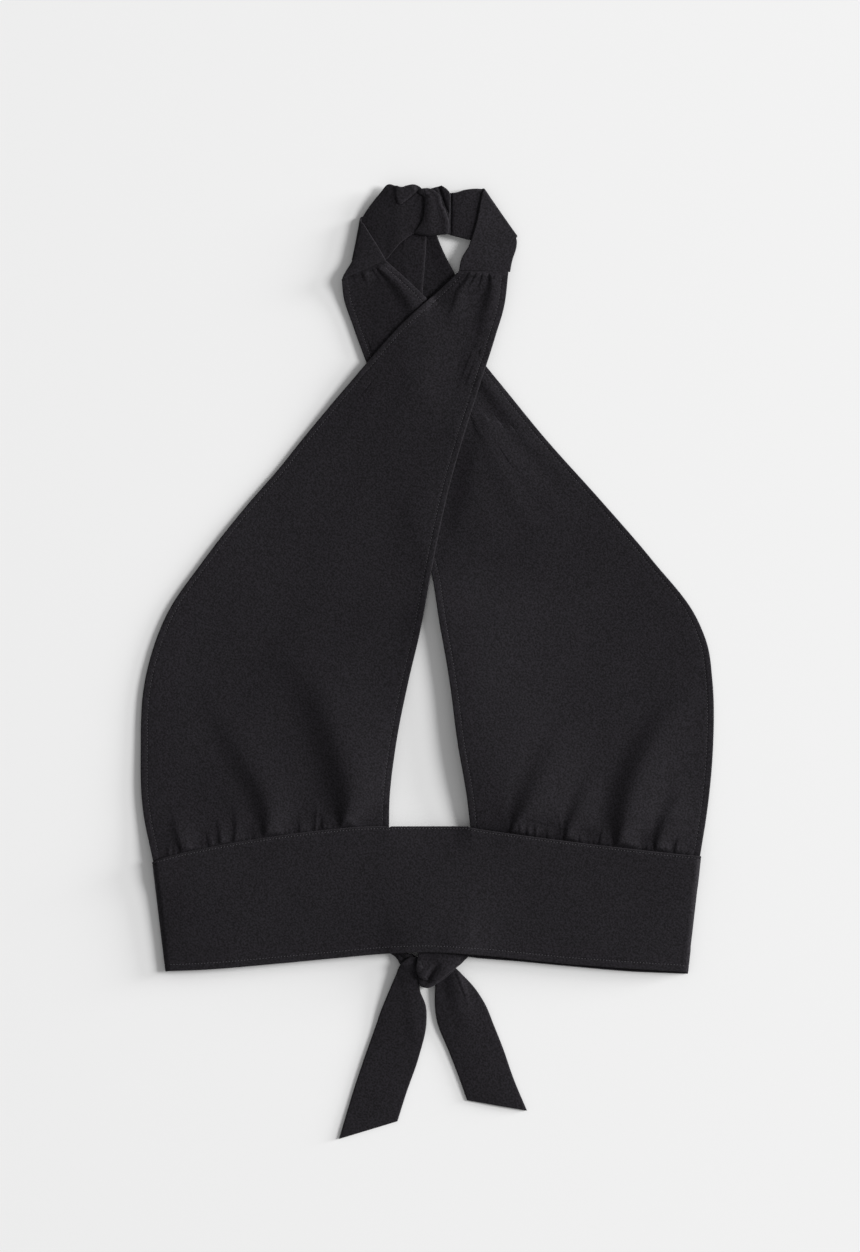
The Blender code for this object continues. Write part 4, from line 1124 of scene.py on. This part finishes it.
panelOver = {
    **panel, "node": "panel_over", "restsOn": ["panelUnder"], "phase": 2.3, "gathered": (-172.0, -52.0),
    "keyholeLift": 1.6, "edgeStand": 1.2,
    "sections": [
        (-177.8, -129.5, -24.6, -107.0, 5.0),
        (-184.0, -100.0, -24.2, -88.0, 3.0),
        (-186.0, -57.0, -19.6, -50.5, 0.0),
        (-183.2, -11.5, -11.9, -12.0, 0.0),
        (-170.8, 27.5, -4.4, 20.0, 0.0),
        (-145.0, 66.3, 3.4, 62.0, 0.0),
        (-114.0, 105.3, 11.5, 101.0, 0.0),
        (-96.6, 125.2, 16.2, 120.4, 0.0),
        (-81.3, 144.3, 21.5, 139.0, 0.0),
        (-48.5, 183.3, 33.4, 177.0, 0.0),
        (-14.5, 221.5, 44.6, 212.0, 0.0),
        (9.0, 242.5, 50.8, 234.5, 0.0),
        (20.5, 253.5, 52.8, 252.5, 0.0),
    ],
    "folds": [
        {"path": [(-55.5, -107.3), (-56.9, -99.5), (-58.8, -89.7), (-62.4, -76.7), (-67.5, -60.0),
                  (-78.7, -30.0), (-93.0, -10.0), (-110.0, 4.0)],
         "wide": 9.0, "foot": 1.0, "deep": 8.2, "first": 0.36, "opens": 15.0, "falls": 36.0},
        {"path": [(-105.4, -115.4), (-106.9, -105.3), (-109.9, -93.9), (-115.1, -82.6), (-124.0, -68.0),
                  (-136.0, -47.0), (-154.0, -16.0)],
         "wide": 6.0, "foot": 0.9, "deep": 4.9, "falls": 22.0, "fade": 1.2},
        {"path": [(-67.5, -110.5), (-68.1, -104.5), (-68.3, -98.0)], "wide": 1.2, "foot": 0.8, "deep": 1.8,
         "first": 0.9},
        {"path": [(-82.6, -110.2), (-83.2, -105.3), (-85.4, -100.5)], "wide": 1.4, "foot": 0.6, "deep": 1.2,
         "first": 0.8},
        *shortFolds([
            (-98.3, -113.1, -97.9, -107.0, 0.9, 0.6, 1.1, 0.8),
            (-111.8, -115.1, -112.2, -110.5, 0.8, 0.5, 0.9, 0.8),
        ]),
        {"path": [(-125.6, -115.7), (-125.1, -110.2), (-125.6, -101.4), (-126.6, -90.0)], "wide": 2.2,
         "foot": 0.7, "deep": 1.5, "first": 0.8},
        {"path": [(-134.6, -117.6), (-135.6, -110.2), (-137.6, -101.0)], "wide": 1.7, "foot": 0.8,
         "deep": 1.8, "first": 0.8},
        {"path": [(-141.3, -120.6), (-142.3, -115.7), (-143.6, -109.5)], "wide": 1.2, "foot": 0.7,
         "deep": 1.4, "first": 0.8},
        {"path": [(-159.5, -122.6), (-162.5, -115.7), (-165.8, -106.3), (-167.4, -95.0)], "wide": 2.8,
         "foot": 1.0, "deep": 2.3, "first": 0.7},
        *shortFolds([
            (-157.1, -121.6, -158.1, -118.7, 0.7, 0.5, 0.9, 0.9),
            (-168.4, -123.5, -168.4, -119.0, 0.7, 0.5, 0.6, 0.9),
            (-149.4, -121.0, -149.8, -117.0, 0.7, 0.5, 0.5, 0.9),
            (-92.6, -112.0, -92.4, -108.2, 0.7, 0.5, 0.6, 0.9),
            (-76.4, -111.0, -76.6, -107.4, 0.7, 0.5, 0.6, 0.9),
            (-61.8, -109.4, -61.6, -105.6, 0.7, 0.5, 0.5, 0.9),
        ]),
        {"path": [(-72.6, -107.0), (-72.3, -98.0), (-72.8, -89.0)], "wide": 0.5, "foot": 0.4, "deep": 0.7,
         "first": 0.9, "falls": 1.3},
        # gathers at the neck
        {"path": [(27.4, 252.6), (24.4, 247.3), (19.2, 241.3), (16.9, 233.8), (13.0, 224.0)], "wide": 1.5,
         "foot": 0.7, "deep": 2.0, "first": 0.5, "falls": 6.0, "fade": 0.6},
        {"path": [(31.9, 251.8), (28.2, 245.8), (24.6, 240.5)], "wide": 1.0, "foot": 0.6, "deep": 1.3,
         "first": 0.8},
        {"path": [(35.8, 251.4), (34.2, 245.8), (31.6, 240.0)], "wide": 1.0, "foot": 0.6, "deep": 1.3,
         "first": 0.8},
        {"path": [(40.6, 251.6), (39.9, 244.1), (37.2, 235.3), (34.9, 227.8), (30.0, 215.0)], "wide": 3.2,
         "foot": 0.8, "opens": 11.0, "deep": 3.0, "first": 0.5, "falls": 9.0, "fade": 0.8},
        *shortFolds([
            (43.7, 252.2, 43.4, 247.5, 0.8, 0.6, 1.0, 0.9),
            (47.0, 252.6, 46.8, 248.0, 0.7, 0.5, 0.7, 0.9),
        ]),
    ],
}
underCoarseSeam, underSeam = makePanel("panelUnder", panelUnder)
overCoarseSeam, overSeam = makePanel("panelOver", panelOver)


# front band

frontBand = {
    **band, "node": "front_band", "restsOn": ["backBandLeft", "backBandRight"],
    "flat": (0.360, 0.092), "area": 0.0285, "round": 0.5, "slack": 0.22, "slackLength": 26.0, "phase": 1.9,
    "coarseRows": 8, "keyholeColumns": (4, 38), "settle": (3000, 0.006), "spread": 14,
    "seamGap": 0.3, "seamLift": 0.2, "seamLiftWidth": 5.0, "keyholeRise": 0.7,
    "sideStep": 2.1, "sideLoft": 0.8, "sideRoll": 2.5,
    "hem": [(-169.3, -200.8), (-145.0, -199.8), (-98.0, -195.9), (-63.0, -192.6), (-22.0, -189.0),
            (0.0, -188.3), (34.5, -190.3), (86.5, -195.5), (145.0, -199.8), (169.3, -201.3)],
    "topSteps": (0.0, 0.14, 0.42, 0.9, 1.25, 1.5, 1.75, 2.1, 2.8, 4.0),
    "topStitchRow": 5,
    "hemSteps": (0.0, 0.14, 0.42, 0.9, 1.8, 2.9, 3.6, 4.0, 4.3, 4.6, 5.0, 5.8, 7.0),
    "hemStitchRow": 8, "middleRows": 26, "groove": 0.18, "grooveWidth": 0.4,
}
bandThread = {
    "pitch": 2.0, "length": 1.3, "wide": 0.42, "thick": 0.34, "lift": 0.12, "skew": 0.10, "start": 3.0,
}


def bandSeam(over, under, keyholeColumns, rise, cut):
    # the band's upper edge along both panels' seams and the keyhole between them
    keyhole = np.linspace(over[-1, :2], under[-1, :2], keyholeColumns + 2)[1:-1]
    keyhole[:, 1] += rise
    seam = np.concatenate([over[:, :2], keyhole, under[::-1, :2]])
    seam[:, 1] -= cut["seamGap"]
    return seam


def hemUnder(seam, cut):
    # shares of the length, and the hem's places under those of the seam
    at, hemAt = distanceAlong(seam), distanceAlong(cut["hem"])
    return at / at[-1], smoothRows(cut["hem"], hemAt, at / at[-1] * hemAt[-1])


def bandGrid(seam, hem, shares):
    flat = seam[None, :, :] + (hem - seam)[None, :, :] * shares[:, :, None]
    return np.concatenate([flat, np.zeros((*flat.shape[:2], 1))], axis=2)


def makeFrontBand(cut):
    coarseKeyhole, fineKeyhole = cut["keyholeColumns"]
    # the coarse band settles as one piece
    coarseSeam = bandSeam(overCoarseSeam, underCoarseSeam, coarseKeyhole, 0.0, cut)
    coarseSeam[0, 0] += cut["sideStep"]
    coarseSeam[-1, 0] -= cut["sideStep"]
    coarseAt, coarseHem = hemUnder(coarseSeam, cut)
    down = np.linspace(0.0, 1.0, cut["coarseRows"])
    ground = clearGround(bandGrid(coarseSeam, coarseHem, down[:, None])) + cut["wall"]
    pinned = np.zeros(ground.shape, bool)
    spread = settle(ground, np.zeros(ground.shape), pinned, cut["spread"], 0.0)
    ground = np.maximum(ground, spread)  # the band bridges what it lies on
    start = ground.copy()
    start[:, [0, -1]] += cut["sideLoft"]
    start[0] = np.maximum(ground[0], panelShape["seamHeight"])
    pinned[0] = True
    pinned[:, [0, -1]] = True
    heights = settle(start, ground, pinned, *cut["settle"])
    # the fine band follows the fine seams
    seam = bandSeam(overSeam, underSeam, fineKeyhole, cut["keyholeRise"], cut)
    seamAt, hem = hemUnder(seam, cut)
    deep = np.linalg.norm(hem - seam, axis=1)
    top, low = np.array(cut["topSteps"]), np.array(cut["hemSteps"])
    inner = np.linspace(0.0, 1.0, cut["middleRows"] + 2)[1:-1]
    first, last = top[-1] / deep, 1 - low[-1] / deep
    shares = np.concatenate([top[:, None] / deep, first + (last - first) * inner[:, None],
                             1 - low[::-1, None] / deep])
    points = bandGrid(seam, hem, shares)
    columnsAt = np.interp(seamAt, coarseAt, np.arange(len(coarseAt)))
    fine = readGrid(heights, shares * (cut["coarseRows"] - 1), columnsAt[None, :] + np.zeros(shares.shape))
    fromTop, fromHem = shares * deep, (1 - shares) * deep
    fine += cut["seamLift"] * fading(fromTop, cut["seamLiftWidth"])
    fine += slack(points, cut)
    bed = fineGround(points[2:]) + cut["wall"]
    bed = np.concatenate([bed[:1], bed[:1], bed])  # the panels' seams don't count
    fine = np.maximum(fine, bed)
    fromSide = np.minimum(points[:, :, 0] - points[:, :1, 0], points[:, -1:, 0] - points[:, :, 0])
    side = np.clip(fromSide / cut["sideRoll"], 0.0, 1.0)
    rolled = bed[:, :1] + (fine - bed[:, :1]) * np.sqrt(1 - (1 - side) ** 2)
    fine = np.where(side < 1, np.maximum(rolled, bed), fine)
    points[:, :, 2] = fine - cut["wall"] / 2
    topRow, hemRow, width = cut["topStitchRow"], cut["hemStitchRow"], cut["grooveWidth"]
    grooves = fading(fromTop - top[topRow], width) + fading(fromHem - low[hemRow], width)
    shell = clothShell(points, {**cut, "relief": -cut["groove"] * grooves})
    threads = [sewRun(f"frontBand{edge}Stitches", shell, (row, slice(2, -2)), bandThread)
               for edge, row in (("Top", topRow), ("Hem", -1 - hemRow))]
    makePiece("frontBand", [shell], cut)
    print("front band sewn on")


makeFrontBand(frontBand)


# floor, light and camera

studio = {  # in metres
    "floorColour": (0.84, 0.84, 0.84, 1.0), "floorRoughness": 0.9, "floorSpecular": 0.1,
    "floorSize": 8.0, "floorHeight": -0.0002,
    "worldColour": (1.0, 1.0, 1.0, 1.0), "worldStrength": 0.36,
    "lamps": {  # angles in degrees; the share is of the light on the floor
        "softKey": {"turn": 10.0, "elevation": 31.0, "away": 20.0, "size": 7.0, "share": 0.50},
        "lowFill": {"turn": 15.0, "elevation": 9.5, "away": 20.0, "size": 5.6, "share": 0.19},
    },
    "viewCentre": (0.00195, 0.0234), "viewHeight": 0.8138, "cameraHeight": 4.0,
}


def makeLamp(name, cut):
    turn, elevation = math.radians(cut["turn"]), math.radians(cut["elevation"])
    lamp = bpy.data.lights.new(name, "AREA")
    lamp.energy = cut["share"] * (math.pi * cut["away"]) ** 2 / math.sin(elevation)
    lamp.shape = "DISK"
    lamp.size = cut["size"]
    placed = addObject(name, lamp)
    level = cut["away"] * math.cos(elevation)
    placed.location = (level * math.cos(turn), level * math.sin(turn), cut["away"] * math.sin(elevation))
    placed.rotation_euler = (-placed.location).to_track_quat("-Z", "Y").to_euler()


def makeStudio(cut):
    half, low = cut["floorSize"] / 2, cut["floorHeight"]
    corners = [(-half, -half, low), (half, -half, low), (half, half, low), (-half, half, low)]
    material, tree, shader = newMaterial("paleFloor")
    feed(tree, shader, {"Base Color": cut["floorColour"], "Roughness": cut["floorRoughness"],
                        "Specular IOR Level": cut["floorSpecular"]})
    addMesh("floor", corners, [(0, 1, 2, 3)], material)
    world = bpy.data.worlds.new("studio")
    bpy.context.scene.world = world
    world.use_nodes = True
    sky = world.node_tree.nodes["Background"]
    feed(world.node_tree, sky, {"Color": cut["worldColour"], "Strength": cut["worldStrength"]})
    for name, lamp in cut["lamps"].items():
        makeLamp(name, lamp)
    view = bpy.data.cameras.new("camera")
    view.sensor_width = 36.0
    view.lens = view.sensor_width * cut["cameraHeight"] / cut["viewHeight"]
    view.clip_end = 50.0
    camera = addObject("camera", view)
    camera.location = (*cut["viewCentre"], cut["cameraHeight"])
    bpy.context.scene.camera = camera
    bpy.context.scene.view_settings.view_transform = "Standard"


makeStudio(studio)
print("studio ready")
